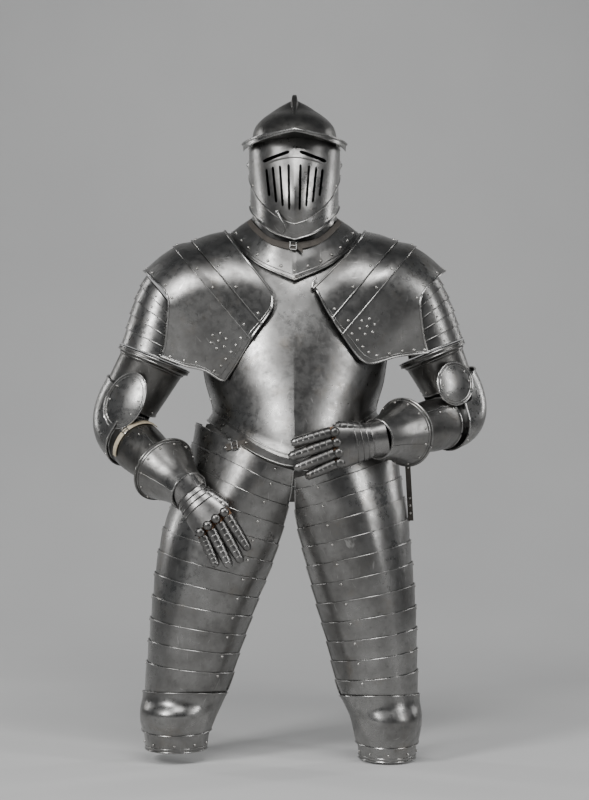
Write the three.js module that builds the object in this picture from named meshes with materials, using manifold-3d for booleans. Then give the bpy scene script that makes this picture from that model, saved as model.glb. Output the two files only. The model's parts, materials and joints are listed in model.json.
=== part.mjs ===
// Cuirassier's three-quarter armour, about 1600 to 1630, standing in its worn pose with no wearer.
// Millimetres, +Z up. The front faces -Y and the wearer's right side is -X.
// The origin lies at the base of the neck, between the shoulders that carry the weight.

import * as THREE from 'three';
import { mergeVertices } from 'three/addons/utils/BufferGeometryUtils.js';
import Module from 'manifold-3d';

const wasm = await Module();
wasm.setup();

// Driving dimensions
const PLATE = 2;
const THIN_PLATE = 1.8;
const LAME = 1.5;
const LAME_OVERLAP = 10;
const LAME_FLARE = 3;
const STRAP = 3;
const PIVOT_HEIGHT = 155;
const WAIST_CENTRE = -440;
const WAIST_RISE = 92;
const FLANGE_DROP = 24;
const FLANGE_FLARE = 16;
const LAMES_PER_LEG = 12;
const LAME_EXPOSURE = 41;

const RIGHT = -1;
const LEFT = 1;
const DEG = Math.PI / 180;
const FRONT = new THREE.Vector3(0, -1, 0);

// ---------------------------------------------------------------- numbers and tables

const point = (x, y, z) => new THREE.Vector3(x, y, z);
const power = (value, exponent) => Math.sign(value) * Math.abs(value) ** exponent;
const mix = (from, to, t) => from + (to - from) * t;

function table(columns, rows) {
  return rows.map(row => Object.fromEntries(columns.map((name, i) => [name, row[i]])));
}

// Smooth values of every column between the rows, found by the first column, which rises.
function lookUp(rows, at) {
  const names = Object.keys(rows[0]);
  const key = names[0];
  const last = rows.length - 1;
  let i = 0;
  while (i < last - 1 && at > rows[i + 1][key]) i += 1;
  const span = rows[i + 1][key] - rows[i][key];
  const along = (at - rows[i][key]) / span;
  const t = Math.min(Math.max(along, 0), 1);
  const found = {};
  for (const name of names) {
    const slope = n => {
      const before = rows[Math.max(n - 1, 0)];
      const after = rows[Math.min(n + 1, last)];
      return span * (after[name] - before[name]) / (after[key] - before[key]);
    };
    const start = slope(i);
    const end = slope(i + 1);
    const bend = t * (1 - t) * (mix(start, -end, t) + (rows[i + 1][name] - rows[i][name]) * (2 * t - 1));
    found[name] = mix(rows[i][name], rows[i + 1][name], t) + bend + (along - t) * (along < 0 ? start : end);
  }
  return found;
}

// ---------------------------------------------------------------- closed solids from grids of points

function closedGeometry(points, triangles) {
  let volume = 0;
  for (const [a, b, c] of triangles) {
    volume += points[a].dot(point(0, 0, 0).crossVectors(points[b], points[c]));
  }
  const faces = volume > 0 ? triangles : triangles.map(([a, b, c]) => [a, c, b]);
  const geometry = new THREE.BufferGeometry();
  geometry.setAttribute('position', new THREE.Float32BufferAttribute(points.flatMap(p => p.toArray()), 3));
  geometry.setIndex(faces.flat());
  return geometry;
}

// A wall between two grids of points. A closed wall joins its last column to its first.
function wallBetween(outer, inner, closed = false) {
  const rows = outer.length;
  const columns = outer[0].length;
  const spans = closed ? columns : columns - 1;
  const points = [...outer.flat(), ...inner.flat()];
  const behind = rows * columns;
  const at = (row, column) => row * columns + column % columns;
  const triangles = [];
  const quad = (a, b, c, d) => triangles.push([a, b, c], [a, c, d]);
  for (let row = 0; row < rows - 1; row += 1) {
    for (let column = 0; column < spans; column += 1) {
      const corners = [at(row, column), at(row, column + 1), at(row + 1, column + 1), at(row + 1, column)];
      quad(...corners);
      quad(...corners.map(corner => corner + behind).reverse());
    }
  }
  for (let column = 0; column < spans; column += 1) {
    const low = [at(0, column), at(0, column + 1)];
    const high = [at(rows - 1, column), at(rows - 1, column + 1)];
    quad(low[1], low[0], low[0] + behind, low[1] + behind);
    quad(high[0], high[1], high[1] + behind, high[0] + behind);
  }
  for (let row = 0; row < rows - 1 && !closed; row += 1) {
    const first = [at(row, 0), at(row + 1, 0)];
    const final = [at(row, columns - 1), at(row + 1, columns - 1)];
    quad(first[0], first[1], first[1] + behind, first[0] + behind);
    quad(final[1], final[0], final[0] + behind, final[1] + behind);
  }
  return closedGeometry(points, triangles);
}

// A point of a surface, moved out along its normal.
function offsetPoint(surface, across, along, out, side) {
  const STEP = 0.25;
  const acrossEdge = surface(across + STEP, along).sub(surface(across - STEP, along));
  const alongEdge = surface(across, along + STEP / 10).sub(surface(across, along - STEP / 10));
  const normal = acrossEdge.cross(alongEdge).normalize();
  return surface(across, along).addScaledVector(normal, out * side);
}

// A plate on a surface(across, along). Each row gives along and out, as numbers or as functions of across.
function plate({ surface, across, rows, wall, side = 1, closed = false }) {
  const value = (entry, at) => (typeof entry === 'function' ? entry(at) : entry);
  const grid = depth => rows.map(row => across.map(at => (
    offsetPoint(surface, at, value(row.along, at), value(row.out ?? 0, at) - depth, side)
  )));
  return wallBetween(grid(0), grid(wall), closed);
}

// A solid through rings of points, flat at both ends.
function solidLoft(rings) {
  const count = rings[0].length;
  const points = rings.flat();
  const triangles = [];
  for (let ring = 0; ring < rings.length - 1; ring += 1) {
    for (let i = 0; i < count; i += 1) {
      const next = (i + 1) % count;
      const a = ring * count;
      triangles.push([a + i, a + next, a + count + next], [a + i, a + count + next, a + count + i]);
    }
  }
  const last = (rings.length - 1) * count;
  for (let i = 1; i < count - 1; i += 1) {
    triangles.push([0, i + 1, i], [last, last + i, last + i + 1]);
  }
  return closedGeometry(points, triangles);
}

// An oval dish that bulges along its normal, with its rim standing back.
function dish({ centre, wide, tall, normal, bulge, wall, sectors, rings }) {
  const points = [];
  for (const depth of [0, wall]) {
    for (const ring of rings) {
      for (let i = 0; i < sectors; i += 1) {
        const angle = 2 * Math.PI * i / sectors;
        const rim = centre.clone().addScaledVector(normal, bulge * (1 - ring ** 2) - depth);
        rim.addScaledVector(wide, ring * Math.cos(angle));
        points.push(rim.addScaledVector(tall, ring * Math.sin(angle)));
      }
    }
    points.push(centre.clone().addScaledVector(normal, bulge - depth));
  }
  const behind = rings.length * sectors + 1;
  const triangles = [];
  const both = (a, b, c) => triangles.push([a, b, c], [a + behind, c + behind, b + behind]);
  for (let i = 0; i < sectors; i += 1) {
    const next = (i + 1) % sectors;
    for (let ring = 0; ring < rings.length - 1; ring += 1) {
      const a = ring * sectors;
      both(a + i, a + next, a + sectors + next);
      both(a + i, a + sectors + next, a + sectors + i);
    }
    const inner = (rings.length - 1) * sectors;
    both(inner + i, inner + next, behind - 1);
    triangles.push([next, i, i + behind], [next, i + behind, next + behind]);
  }
  return closedGeometry(points, triangles);
}

function boxBetween(low, high) {
  const size = high.clone().sub(low);
  const geometry = new THREE.BoxGeometry(size.x, size.y, size.z);
  const middle = low.clone().add(high).multiplyScalar(0.5);
  return geometry.translate(middle.x, middle.y, middle.z);
}

// ---------------------------------------------------------------- joins and cuts

function toSolid(geometry) {
  const bare = geometry.clone();
  bare.deleteAttribute('normal');
  bare.deleteAttribute('uv');
  const merged = mergeVertices(bare, 1e-4);
  const mesh = new wasm.Mesh({
    numProp: 3,
    vertProperties: new Float32Array(merged.attributes.position.array),
    triVerts: new Uint32Array(merged.index.array),
  });
  return new wasm.Manifold(mesh);
}

function fromSolid(solid) {
  const mesh = solid.getMesh();
  const geometry = new THREE.BufferGeometry();
  geometry.setAttribute('position', new THREE.Float32BufferAttribute(mesh.vertProperties, 3));
  geometry.setIndex([...mesh.triVerts]);
  return geometry;
}

const joined = pieces => pieces.map(toSolid).reduce((whole, piece) => whole.add(piece));
const join = (...pieces) => fromSolid(joined(pieces));
const cut = (body, ...tools) => fromSolid(toSolid(body).subtract(joined(tools)));

// ---------------------------------------------------------------- materials and meshes

const STEEL = new THREE.MeshStandardMaterial({ color: 0x8b8b88, roughness: 0.32, metalness: 1 });
const DARK_STEEL = new THREE.MeshStandardMaterial({ color: 0x5c5b57, roughness: 0.38, metalness: 1 });
const BROWN_LEATHER = new THREE.MeshStandardMaterial({ color: 0x4d4336, roughness: 0.8, metalness: 0 });
const BUFF_LEATHER = new THREE.MeshStandardMaterial({ color: 0xb9ab86, roughness: 0.85, metalness: 0 });

const armour = new THREE.Group();

function add(name, geometry, material = STEEL, parent = armour) {
  geometry.computeVertexNormals();
  const mesh = new THREE.Mesh(geometry, material.clone());
  mesh.name = name;
  parent.add(mesh);
}

const sideName = side => (side === RIGHT ? 'right' : 'left');
const mirrored = angles => [...angles.slice(1).reverse().map(angle => -angle), ...angles];
const evenly = (from, to, spans) => Array.from({ length: spans + 1 }, (_, i) => mix(from, to, i / spans));

// A level ring: angle 0 faces the front and 90 the wearer's left. The keel adds a crease in front.
function ringPoint(ring, angle, z) {
  const sin = Math.sin(angle * DEG);
  const cos = Math.cos(angle * DEG);
  const exponent = 2 / (ring.bulge ?? 2.1);
  const keel = cos > 0 ? (ring.keel ?? 0) * (1 - Math.abs(sin)) ** 2 : 0;
  const depth = cos > 0 ? ring.front : ring.back;
  const forward = depth * power(cos, exponent) + keel;
  return point(ring.half * power(sin, exponent), (ring.centre ?? 0) - forward, z);
}

const ringSurface = rows => (angle, z) => ringPoint(lookUp(rows, z), angle, z);

// ---------------------------------------------------------------- helmet

const SKULL = table(['z', 'half', 'front', 'back', 'centre'], [
  [64, 86, 98, 98, 6],
  [115, 88.8, 110, 112, 4],
  [155, 88.8, 112, 112, 4],
  [185, 88.6, 108.5, 108.5, 5],
  [210, 87.5, 100.5, 100.5, 6.5],
  [233, 82, 89, 89, 10],
  [251, 67, 73, 73, 14],
  [267, 46, 47, 47, 17.5],
  [280, 26, 27, 27, 16],
  [291, 3.4, 11, 11, 13],
]);

// The comb's edge, as a distance from the visor's pivot; angle 0 is level to the front and 90 is up.
const COMB = table(['angle', 'edge', 'root'], [
  [40, 110, 104],
  [62, 113.5, 104],
  [75, 122, 108],
  [85, 136, 117],
  [93, 147, 126],
  [105, 150, 128],
  [120, 146, 124],
  [135, 141, 124],
  [150, 132, 116],
  [165, 124, 112],
  [180, 119, 111],
]);
const COMB_THICKNESS = 5;
const BROW_HEIGHT = 178;

function comb() {
  const polar = (radius, angle) => {
    const turned = Math.PI - angle * DEG;
    return new THREE.Vector2(radius * Math.cos(turned), PIVOT_HEIGHT + radius * Math.sin(turned));
  };
  const edge = COMB.map(row => polar(row.edge, row.angle));
  const root = COMB.map(row => polar(row.root, row.angle)).reverse();
  const outline = new THREE.Shape([...edge, ...root]);
  const fin = new THREE.ExtrudeGeometry(outline, { depth: COMB_THICKNESS, bevelEnabled: false });
  // The outline's x runs backwards from the pivot and its y runs up.
  const upright = new THREE.Matrix4().makeBasis(point(0, 1, 0), point(0, 0, 1), point(1, 0, 0));
  return fin.applyMatrix4(upright).translate(-COMB_THICKNESS / 2, 0, 0);
}

function helmetSkull() {
  const shell = plate({
    surface: ringSurface(SKULL),
    across: evenly(0, 342, 19),
    rows: SKULL.map(row => ({ along: row.z })),
    wall: PLATE,
    closed: true,
  });
  const face = boxBetween(point(-120, -150, 0), point(120, -4, BROW_HEIGHT));
  return join(cut(shell, face), comb());
}

const VISOR = table(['z', 'half', 'front', 'back', 'keel', 'bulge'], [
  [10, 82, 122, 110, 9, 2],
  [45, 88, 133, 114, 11, 2.1],
  [80, 91.8, 135, 117, 12, 2.15],
  [120, 93.8, 128, 117, 10, 2.3],
  [160, 94.3, 117, 117, 8, 2.5],
  [190, 94.3, 109, 115, 6, 2.5],
  [206, 94, 104, 114, 5, 2.5],
]);
const VISOR_EDGES = table(['angle', 'low', 'high'], [
  [0, 20, 203],
  [20, 32, 202],
  [45, 64, 199],
  [70, 104, 195],
  [90, 128, 190],
  [98, 136, 182],
]);
const SIGHT = { fromX: 12, fromZ: 169, toX: 64, toZ: 151.5, height: 5 };
const BREATH_WIDTH = 3.5;
const BREATHS = table(['topX', 'topZ', 'footX', 'footZ'], [
  [12, 143.5, 10.5, 50],
  [29.5, 141.3, 23.5, 58],
  [44, 139.3, 36.6, 66],
  [57, 136, 50.7, 80],
]);

// A slot seen from the front, cut straight back through the front wall.
function slot(fromX, fromZ, toX, toZ, width) {
  const length = Math.hypot(toX - fromX, toZ - fromZ);
  const DEPTH = 130;
  const bar = new THREE.BoxGeometry(length, DEPTH, width);
  bar.rotateY(-Math.atan2(toZ - fromZ, toX - fromX));
  return bar.translate((fromX + toX) / 2, -60 - DEPTH / 2, (fromZ + toZ) / 2);
}

function helmetVisor() {
  const edge = (angle, name) => lookUp(VISOR_EDGES, Math.abs(angle))[name];
  const shell = plate({
    surface: ringSurface(VISOR),
    across: mirrored([0, 18, 36, 54, 72, 90, 99]),
    rows: evenly(0, 1, 4).map(t => ({ along: angle => mix(edge(angle, 'low'), edge(angle, 'high'), t) })),
    wall: THIN_PLATE,
  });
  const slots = [];
  for (const side of [RIGHT, LEFT]) {
    slots.push(slot(side * SIGHT.fromX, SIGHT.fromZ, side * SIGHT.toX, SIGHT.toZ, SIGHT.height));
    for (const breath of BREATHS) {
      slots.push(slot(side * breath.topX, breath.topZ, side * breath.footX, breath.footZ, BREATH_WIDTH));
    }
  }
  return cut(shell, ...slots);
}

const PEAK = {
  rimHalf: 108,
  rimFront: 151,
  rimCentreHeight: 210,
  rimDrop: 16,
  point: 6,
  rootHeight: 198,
  rootDrop: 8,
};

function helmetPeak() {
  const angles = mirrored([0, 10, 24, 40, 56, 70, 82]);
  const visor = ringSurface(VISOR);
  const root = angle => {
    const z = PEAK.rootHeight - PEAK.rootDrop * Math.abs(Math.sin(angle * DEG));
    return offsetPoint(visor, angle, z, 1, 1);
  };
  const rim = angle => {
    const sin = Math.abs(Math.sin(angle * DEG));
    const forward = PEAK.rimFront * Math.cos(angle * DEG) ** 0.9 + PEAK.point * (1 - sin) ** 2;
    const height = PEAK.rimCentreHeight - PEAK.rimDrop * sin;
    return point(PEAK.rimHalf * Math.sin(angle * DEG), -forward, height);
  };
  const between = (angle, t, lift) => root(angle).lerp(rim(angle), t).add(point(0, 0, lift));
  const sheet = lift => [0, 0.5, 1].map(t => angles.map(angle => between(angle, t, lift)));
  return wallBetween(sheet(PLATE), sheet(0));
}

const BEVOR = table(['z', 'half', 'front', 'back', 'centre', 'keel', 'bulge'], [
  [-10, 84, 108, 104, 0, 4, 2.1],
  [20, 88, 124, 108, 0, 6, 2.1],
  [45, 90, 127, 111, 0, 7, 2.1],
  [80, 91.2, 125, 115, 0, 7, 2.15],
  [120, 91, 118, 118, 0, 5, 2.2],
  [155, 91.2, 110, 118.5, 0, 4, 2.3],
]);
const BEVOR_EDGES = table(['angle', 'low', 'high'], [
  [0, -8, 48],
  [30, 8, 56],
  [60, 40, 92],
  [90, 67, 148],
  [105, 70, 140],
]);

function helmetBevor() {
  const edge = (angle, name) => lookUp(BEVOR_EDGES, Math.abs(angle))[name];
  const row = (t, out) => ({ along: angle => mix(edge(angle, 'low'), edge(angle, 'high'), t), out });
  return plate({
    surface: ringSurface(BEVOR),
    across: mirrored([0, 18, 36, 54, 72, 90, 108]),
    rows: [row(0, 2), row(0.1, 0), row(0.5, 0), row(1, 0)],
    wall: THIN_PLATE,
  });
}

// The hook swivels on an eye at the visor's lower edge and closes over the bevor.
const HOOK = table(['x', 'y', 'z', 'radius'], [
  [-37, -130, 50, 4],
  [-33, -132, 44, 4],
  [-27, -136, 32, 2.6],
  [-21, -138, 20, 2.2],
  [-19, -136, 11, 2],
  [-23, -131, 4, 1.8],
]);

function visorHook() {
  const SIDES = 6;
  return solidLoft(HOOK.map(row => evenly(0, 360 * (1 - 1 / SIDES), SIDES - 1).map(angle => point(
    row.x + row.radius * Math.cos(angle * DEG),
    row.y + 1.2 * Math.sin(angle * DEG),
    row.z + row.radius * 0.3 * Math.cos(angle * DEG),
  ))));
}

// ---------------------------------------------------------------- gorget

// Neck and outer border of the gorget, by the angle around the neck.
const GORGET = table(['angle', 'neckX', 'neckY', 'neckZ', 'borderX', 'borderY', 'borderZ'], [
  [0, 0, -106, -16, 0, -126, -90],
  [30, 45, -92, -4, 64, -102, -62],
  [60, 76, -52, 24, 110, -62, -26],
  [90, 88, 0, 46, 136, 0, 11],
  [120, 76, 48, 44, 115, 62, 0],
  [150, 44, 82, 40, 66, 100, -30],
  [180, 0, 92, 38, 0, 114, -52],
]);
const COLLAR_RISE = 26;
const COLLAR_TAPER = 0.88;

// along runs from 0 at the collar's top, through 1 at the neck, to 2 at the outer border.
function gorgetSurface(angle, along) {
  const side = Math.sin(angle * DEG) < 0 ? -1 : 1;
  const turned = Math.abs(((angle + 180) % 360 + 360) % 360 - 180);
  const at = lookUp(GORGET, turned);
  const neck = point(side * at.neckX, at.neckY, at.neckZ);
  if (along < 1) {
    const collar = point(neck.x * COLLAR_TAPER, neck.y * COLLAR_TAPER, neck.z + COLLAR_RISE);
    return collar.lerp(neck, along);
  }
  return neck.lerp(point(side * at.borderX, at.borderY, at.borderZ), along - 1);
}

function gorget(from, to) {
  return plate({
    surface: gorgetSurface,
    across: evenly(from, to, 12),
    rows: [{ along: 0 }, { along: 0.9 }, { along: 1.12, out: 0.5 }, { along: 1.5, out: 1.5 }, { along: 2 }],
    wall: PLATE,
    side: -1,
  });
}

function neckStrap() {
  return plate({
    surface: gorgetSurface,
    across: evenly(-78, 78, 12),
    rows: [{ along: 1.02, out: 5 }, { along: 1.16, out: 5 }],
    wall: STRAP,
    side: -1,
  });
}

// ---------------------------------------------------------------- cuirass

const TORSO = table(['z', 'half', 'front', 'back', 'bulge', 'keel'], [
  [-470, 160, 168, 96, 2.1, 22],
  [-410, 162, 165, 97, 2.1, 20],
  [-350, 168, 158, 100, 2.1, 18],
  [-290, 184, 150, 110, 2.15, 16],
  [-220, 192, 140, 122, 2.2, 13],
  [-150, 190, 125, 125, 2.2, 10],
  [-80, 178, 105, 115, 2.2, 8],
  [-20, 152, 78, 97, 2.2, 4],
]);
const torsoSurface = ringSurface(TORSO);

// Top edge of each half, from the neck over the armhole to the side seam.
const BREAST_TOP = table(['angle', 'z'], [
  [0, -52],
  [20, -46],
  [36, -34],
  [50, -66],
  [66, -112],
  [88, -152],
]);
const BACK_TOP = table(['angle', 'z'], [
  [92, -152],
  [114, -112],
  [130, -66],
  [144, -34],
  [160, -40],
  [180, -44],
]);

const waistLine = angle => WAIST_CENTRE + WAIST_RISE * Math.abs(Math.sin(angle * DEG)) ** 1.5;

function cuirassHalf(across, waist, top) {
  const body = t => ({ along: angle => mix(waist(angle), top(angle), t) });
  return plate({
    surface: torsoSurface,
    across,
    rows: [
      { along: angle => waist(angle) - FLANGE_DROP, out: FLANGE_FLARE },
      { along: angle => waist(angle) - FLANGE_DROP / 3, out: FLANGE_FLARE / 5 },
      ...[0.03, 0.25, 0.5, 0.75, 1].map(body),
    ],
    wall: PLATE,
  });
}

function breastplate() {
  const top = angle => lookUp(BREAST_TOP, Math.abs(angle)).z;
  return cuirassHalf(mirrored([0, 7, 18, 32, 46, 60, 74, 88]), waistLine, top);
}

function backplate() {
  const top = angle => lookUp(BACK_TOP, Math.min(angle, 360 - angle)).z;
  const waist = () => WAIST_CENTRE + WAIST_RISE;
  return cuirassHalf(evenly(92, 268, 12), waist, top);
}

const CULET = table(['z', 'half', 'front', 'back', 'bulge'], [
  [-560, 222, 150, 166, 2.2],
  [-500, 221, 150, 163, 2.2],
  [-450, 214, 150, 153, 2.2],
  [-410, 200, 150, 139, 2.2],
  [-376, 187, 150, 124, 2.2],
]);
const CULET_LAMES = 5;
const CULET_TOP = -380;
const CULET_LAME = 34;

// The rump plates: each overlaps the next, and a leather inside joins them.
function culet() {
  const rows = [];
  for (let i = 0; i < CULET_LAMES; i += 1) {
    const top = CULET_TOP - i * CULET_LAME;
    rows.push({ along: top - 0.8, out: 0 }, { along: top - CULET_LAME, out: LAME_FLARE });
  }
  return plate({
    surface: ringSurface(CULET),
    across: evenly(104, 256, 8),
    rows: rows.reverse(),
    wall: PLATE + 0.4,
  });
}

// ---------------------------------------------------------------- pauldrons

// The plates lie across slanted planes: along counts down the arm, and across runs over the shoulder.
const LAME_SLANT = Math.atan2(0.645, 0.764);
const PAULDRON = table(['along', 'top', 'reach', 'depth'], [
  [90, -103, 165, 126],
  [128, -121, 158, 136],
  [158, -131, 150, 138],
  [194, -147, 135, 137],
  [231, -153, 120, 130],
  [281, -152, 110, 120],
  [310, -152, 106, 108],
  [338, -152, 104, 98],
  [365, -152, 102, 92],
]);
const WING_EDGE = {
  [RIGHT]: table(['along', 'edge'], [
    [109, 59],
    [129, 82],
    [191, 101],
    [283, 131],
    [300, 130],
    [312, 95],
    [338, 58],
    [362, 14],
  ]),
  [LEFT]: table(['along', 'edge'], [
    [84, 27],
    [92, 45],
    [123, 63],
    [173, 82],
    [244, 103],
    [270, 105],
    [287, 95],
    [315, 53],
    [358, 6],
  ]),
};
const NECK_EDGE = {
  [RIGHT]: table(['across', 'along'], [[0, 96], [60, 104], [120, 109]]),
  [LEFT]: table(['across', 'along'], [[0, 98], [60, 104], [120, 86]]),
};
const CAP_EDGE = table(['across', 'along'], [
  [0, 281],
  [42, 276],
  [70, 273],
  [90, 297],
  [105, 344],
  [120, 360],
]);
const WING_START = 90;
const WING_END = 120;
const SHOULDER_ACROSS = [-78, -60, -40, -20, 0, 20, 42, 70, 90, 105, 120];
const FIRST_SEAM = 158;
const SECOND_SEAM = 194;
const SEAM_TUCK = 8;

function shoulderSurface(side) {
  return (across, along) => {
    const at = lookUp(PAULDRON, along);
    const turn = Math.min(Math.max(across, -WING_START), WING_START) * DEG;
    const straight = Math.max(across - WING_START, 0) / (WING_END - WING_START);
    const shoulder = at.top + at.reach * (1 - Math.cos(turn));
    const down = mix(shoulder, lookUp(WING_EDGE[side], along).edge, straight);
    const out = along * Math.cos(LAME_SLANT) - down * Math.sin(LAME_SLANT);
    const height = -along * Math.sin(LAME_SLANT) - down * Math.cos(LAME_SLANT);
    return point(side * out, -at.depth * Math.sin(turn), height);
  };
}

function shoulderPlate(side, rows, wall) {
  return plate({
    surface: shoulderSurface(side),
    across: SHOULDER_ACROSS,
    rows,
    wall,
    side: side === RIGHT ? -1 : 1,
  });
}

function pauldron(side) {
  const neck = across => lookUp(NECK_EDGE[side], Math.max(across, 0)).along;
  const cap = across => lookUp(CAP_EDGE, Math.abs(across)).along;
  const firstEnd = FIRST_SEAM + SEAM_TUCK;
  const secondEnd = SECOND_SEAM + SEAM_TUCK;
  const inner = [
    { along: neck },
    { along: across => mix(neck(across), FIRST_SEAM, 0.5), out: LAME_FLARE / 2 },
    { along: FIRST_SEAM - SEAM_TUCK, out: LAME_FLARE * 0.85 },
    { along: firstEnd, out: LAME_FLARE },
  ];
  const middle = [
    { along: FIRST_SEAM - SEAM_TUCK },
    { along: firstEnd, out: LAME_FLARE * 0.2 },
    { along: SECOND_SEAM - SEAM_TUCK, out: LAME_FLARE * 0.85 },
    { along: secondEnd, out: LAME_FLARE },
  ];
  const main = [
    { along: SECOND_SEAM - SEAM_TUCK },
    ...[0, 0.4, 0.62, 0.8, 1].map(t => ({ along: across => mix(secondEnd, cap(across), t) })),
  ];
  add(`pauldron_inner_lame_${sideName(side)}`, shoulderPlate(side, inner, LAME));
  add(`pauldron_middle_lame_${sideName(side)}`, shoulderPlate(side, middle, LAME));
  add(`pauldron_plate_${sideName(side)}`, shoulderPlate(side, main, PLATE));
}

// ---------------------------------------------------------------- arms

// Angle 0 of a tube points outwards, and 90 to the front.
function tubePoint(centre, axis, side, radius, angle) {
  const front = FRONT.clone().addScaledVector(axis, -FRONT.dot(axis)).normalize();
  const outwards = point(0, 0, 0).crossVectors(axis, FRONT).multiplyScalar(-side).normalize();
  return centre.clone()
    .addScaledVector(outwards, radius * Math.cos(angle * DEG))
    .addScaledVector(front, radius * Math.sin(angle * DEG));
}

// An open tube: each station has a centre, an axis and a radius.
function tube(stations, side, angles, wall, closed) {
  const grid = inset => stations.map(({ centre, axis, radius }) => (
    angles.map(angle => tubePoint(centre, axis, side, radius - inset, angle))
  ));
  return wallBetween(grid(0), grid(wall), closed);
}

const LEANING = {
  [RIGHT]: table(['lame', 'x', 'z', 'radius', 'lean'], [
    [0, -256, -133, 79, 50],
    [1, -262, -150, 79, 44],
    [2, -268, -171, 79, 38],
    [3, -274, -194, 77.5, 32],
    [4, -280, -217, 76, 26.5],
    [5, -286.5, -241, 75, 21.5],
  ]),
  [LEFT]: table(['lame', 'x', 'z', 'radius', 'lean'], [
    [0, 248, -128, 74, 50],
    [1, 254, -145, 74, 44],
    [2, 261, -165, 74, 38],
    [3, 268, -186, 73, 32],
    [4, 275, -208, 71.5, 26.5],
    [5, 281.5, -229, 70, 21.5],
  ]),
};
const ARM_DEPTH = -5;
const ARM_LAMES = 5;
const ARM_STEP = 1.1;

const leaningAxis = (side, lean) => point(side * Math.sin(lean * DEG), 0, -Math.cos(lean * DEG));

function armLames(side) {
  const stations = [];
  const station = (lame, grow) => {
    const at = lookUp(LEANING[side], lame);
    stations.push({
      centre: point(at.x, ARM_DEPTH, at.z),
      axis: leaningAxis(side, at.lean),
      radius: at.radius + grow,
    });
  };
  for (let lame = 0; lame < ARM_LAMES; lame += 1) {
    station(lame + 0.05, -ARM_STEP);
    station(lame + 1, ARM_STEP);
  }
  return tube(stations, side, evenly(-130, 130, 9), PLATE + 0.4, false);
}

// Joints and radii of each arm.
const ARM = {
  [RIGHT]: {
    elbow: point(-372, 16, -386),
    wrist: point(-211, -184, -511),
    ring: 76,
    bend: 60,
    wingTall: 62,
  },
  [LEFT]: {
    elbow: point(352, 22, -368),
    wrist: point(163, -209, -408),
    ring: 70,
    bend: 80,
    wingTall: 44,
  },
};
const ELBOW_REACH = 62;

function armAxes(side) {
  const foot = lookUp(LEANING[side], ARM_LAMES);
  const { elbow, wrist } = ARM[side];
  const shoulder = point(foot.x, ARM_DEPTH, foot.z);
  const upper = elbow.clone().sub(shoulder).normalize();
  const fore = wrist.clone().sub(elbow).normalize();
  return { shoulder, upper, fore, lean: foot.lean };
}

// along is a distance from the turned ring; swell is added to the ring's radius.
const TURNED_RING = table(['along', 'swell'], [[1, -6], [3, 0], [9, 1.5], [14, -5], [20, -8.5]]);
const CANNON_TAPER = 15;

function upperCannon(side) {
  const { shoulder, upper, lean } = armAxes(side);
  const ringAxis = leaningAxis(side, lean);
  const { elbow, ring, bend } = ARM[side];
  const end = { along: elbow.distanceTo(shoulder) - bend, swell: -CANNON_TAPER };
  const stations = [...TURNED_RING, end].map(row => ({
    centre: shoulder.clone().addScaledVector(upper, row.along + 1.5),
    axis: ringAxis.clone().lerp(upper, row.along / end.along).normalize(),
    radius: ring + row.swell,
  }));
  return tube(stations, side, evenly(0, 330, 11), PLATE, true);
}

const COUTER_RADII = table(['t', 'radius'], [[0, 66], [0.5, 62], [1, 58]]);
const COUTER_TOP = 84;
const COUTER_LIP = 26;
const WING = { wide: 46, lift: 70, bulge: 9, lip: 12, overlap: 7 };

// The elbow plate is one band around the outside of the bend, with an oval wing over its front.
function couter(side) {
  const { upper, fore } = armAxes(side);
  const { elbow, wingTall } = ARM[side];
  const from = elbow.clone().addScaledVector(upper, -ELBOW_REACH);
  const to = elbow.clone().addScaledVector(fore, ELBOW_REACH);
  const bend = new THREE.QuadraticBezierCurve3(from, elbow, to);
  const outwards = upper.clone().sub(fore).normalize();
  const hinge = point(0, 0, 0).crossVectors(upper, fore).normalize();
  const frontwards = hinge.y < 0 ? hinge : hinge.clone().negate();
  const stations = [-1, 0, 0.25, 0.5, 0.75, 1].map(t => {
    const axis = t < 0 ? upper.clone() : bend.getTangent(t);
    const centre = t < 0 ? elbow.clone().addScaledVector(upper, -COUTER_TOP) : bend.getPoint(t);
    const spoke = outwards.clone().addScaledVector(axis, -outwards.dot(axis)).normalize();
    return { centre, spoke, radius: lookUp(COUTER_RADII, Math.max(t, 0)).radius };
  });
  const rim = ({ centre, spoke, radius }, angle, lip) => centre.clone()
    .addScaledVector(spoke, radius * Math.cos(angle * DEG) - lip)
    .addScaledVector(frontwards, radius * Math.sin(angle * DEG));
  const grid = inset => stations.map(station => {
    const inside = { ...station, radius: station.radius - inset };
    return [...evenly(-95, 90, 9).map(angle => rim(inside, angle, 0)), rim(inside, 90, COUTER_LIP)];
  });
  const band = wallBetween(grid(0), grid(PLATE));
  const facing = FRONT.clone().addScaledVector(upper, -FRONT.dot(upper)).normalize();
  const normal = frontwards.clone().addScaledVector(facing, 0.5).normalize();
  const tall = upper.clone().negate();
  tall.addScaledVector(normal, -tall.dot(normal)).normalize();
  const wide = point(0, 0, 0).crossVectors(normal, tall).multiplyScalar(side);
  const anchor = rim(stations[1], 90, WING.lip).addScaledVector(tall, WING.lift - wingTall);
  const wing = dish({
    centre: anchor.clone().addScaledVector(wide, WING.wide - WING.overlap),
    wide: wide.clone().multiplyScalar(WING.wide),
    tall: tall.multiplyScalar(wingTall),
    normal,
    bulge: WING.bulge,
    wall: PLATE,
    sectors: 14,
    rings: [1, 0.6],
  });
  return join(band, wing);
}

const LOWER_CANNON = table(['along', 'radius'], [[0, 52], [40, 53], [90, 48], [135, 40], [170, 36]]);

function foreStations(side, rows, start) {
  const { fore } = armAxes(side);
  return rows.map(row => ({
    centre: ARM[side].elbow.clone().addScaledVector(fore, start + row.along),
    axis: fore,
    radius: row.radius,
  }));
}

const CUFF = table(['along', 'radius'], [[0, 68], [4, 66], [33, 55], [63, 45], [97, 39]]);
const CUFF_LENGTH = 94;

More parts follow.
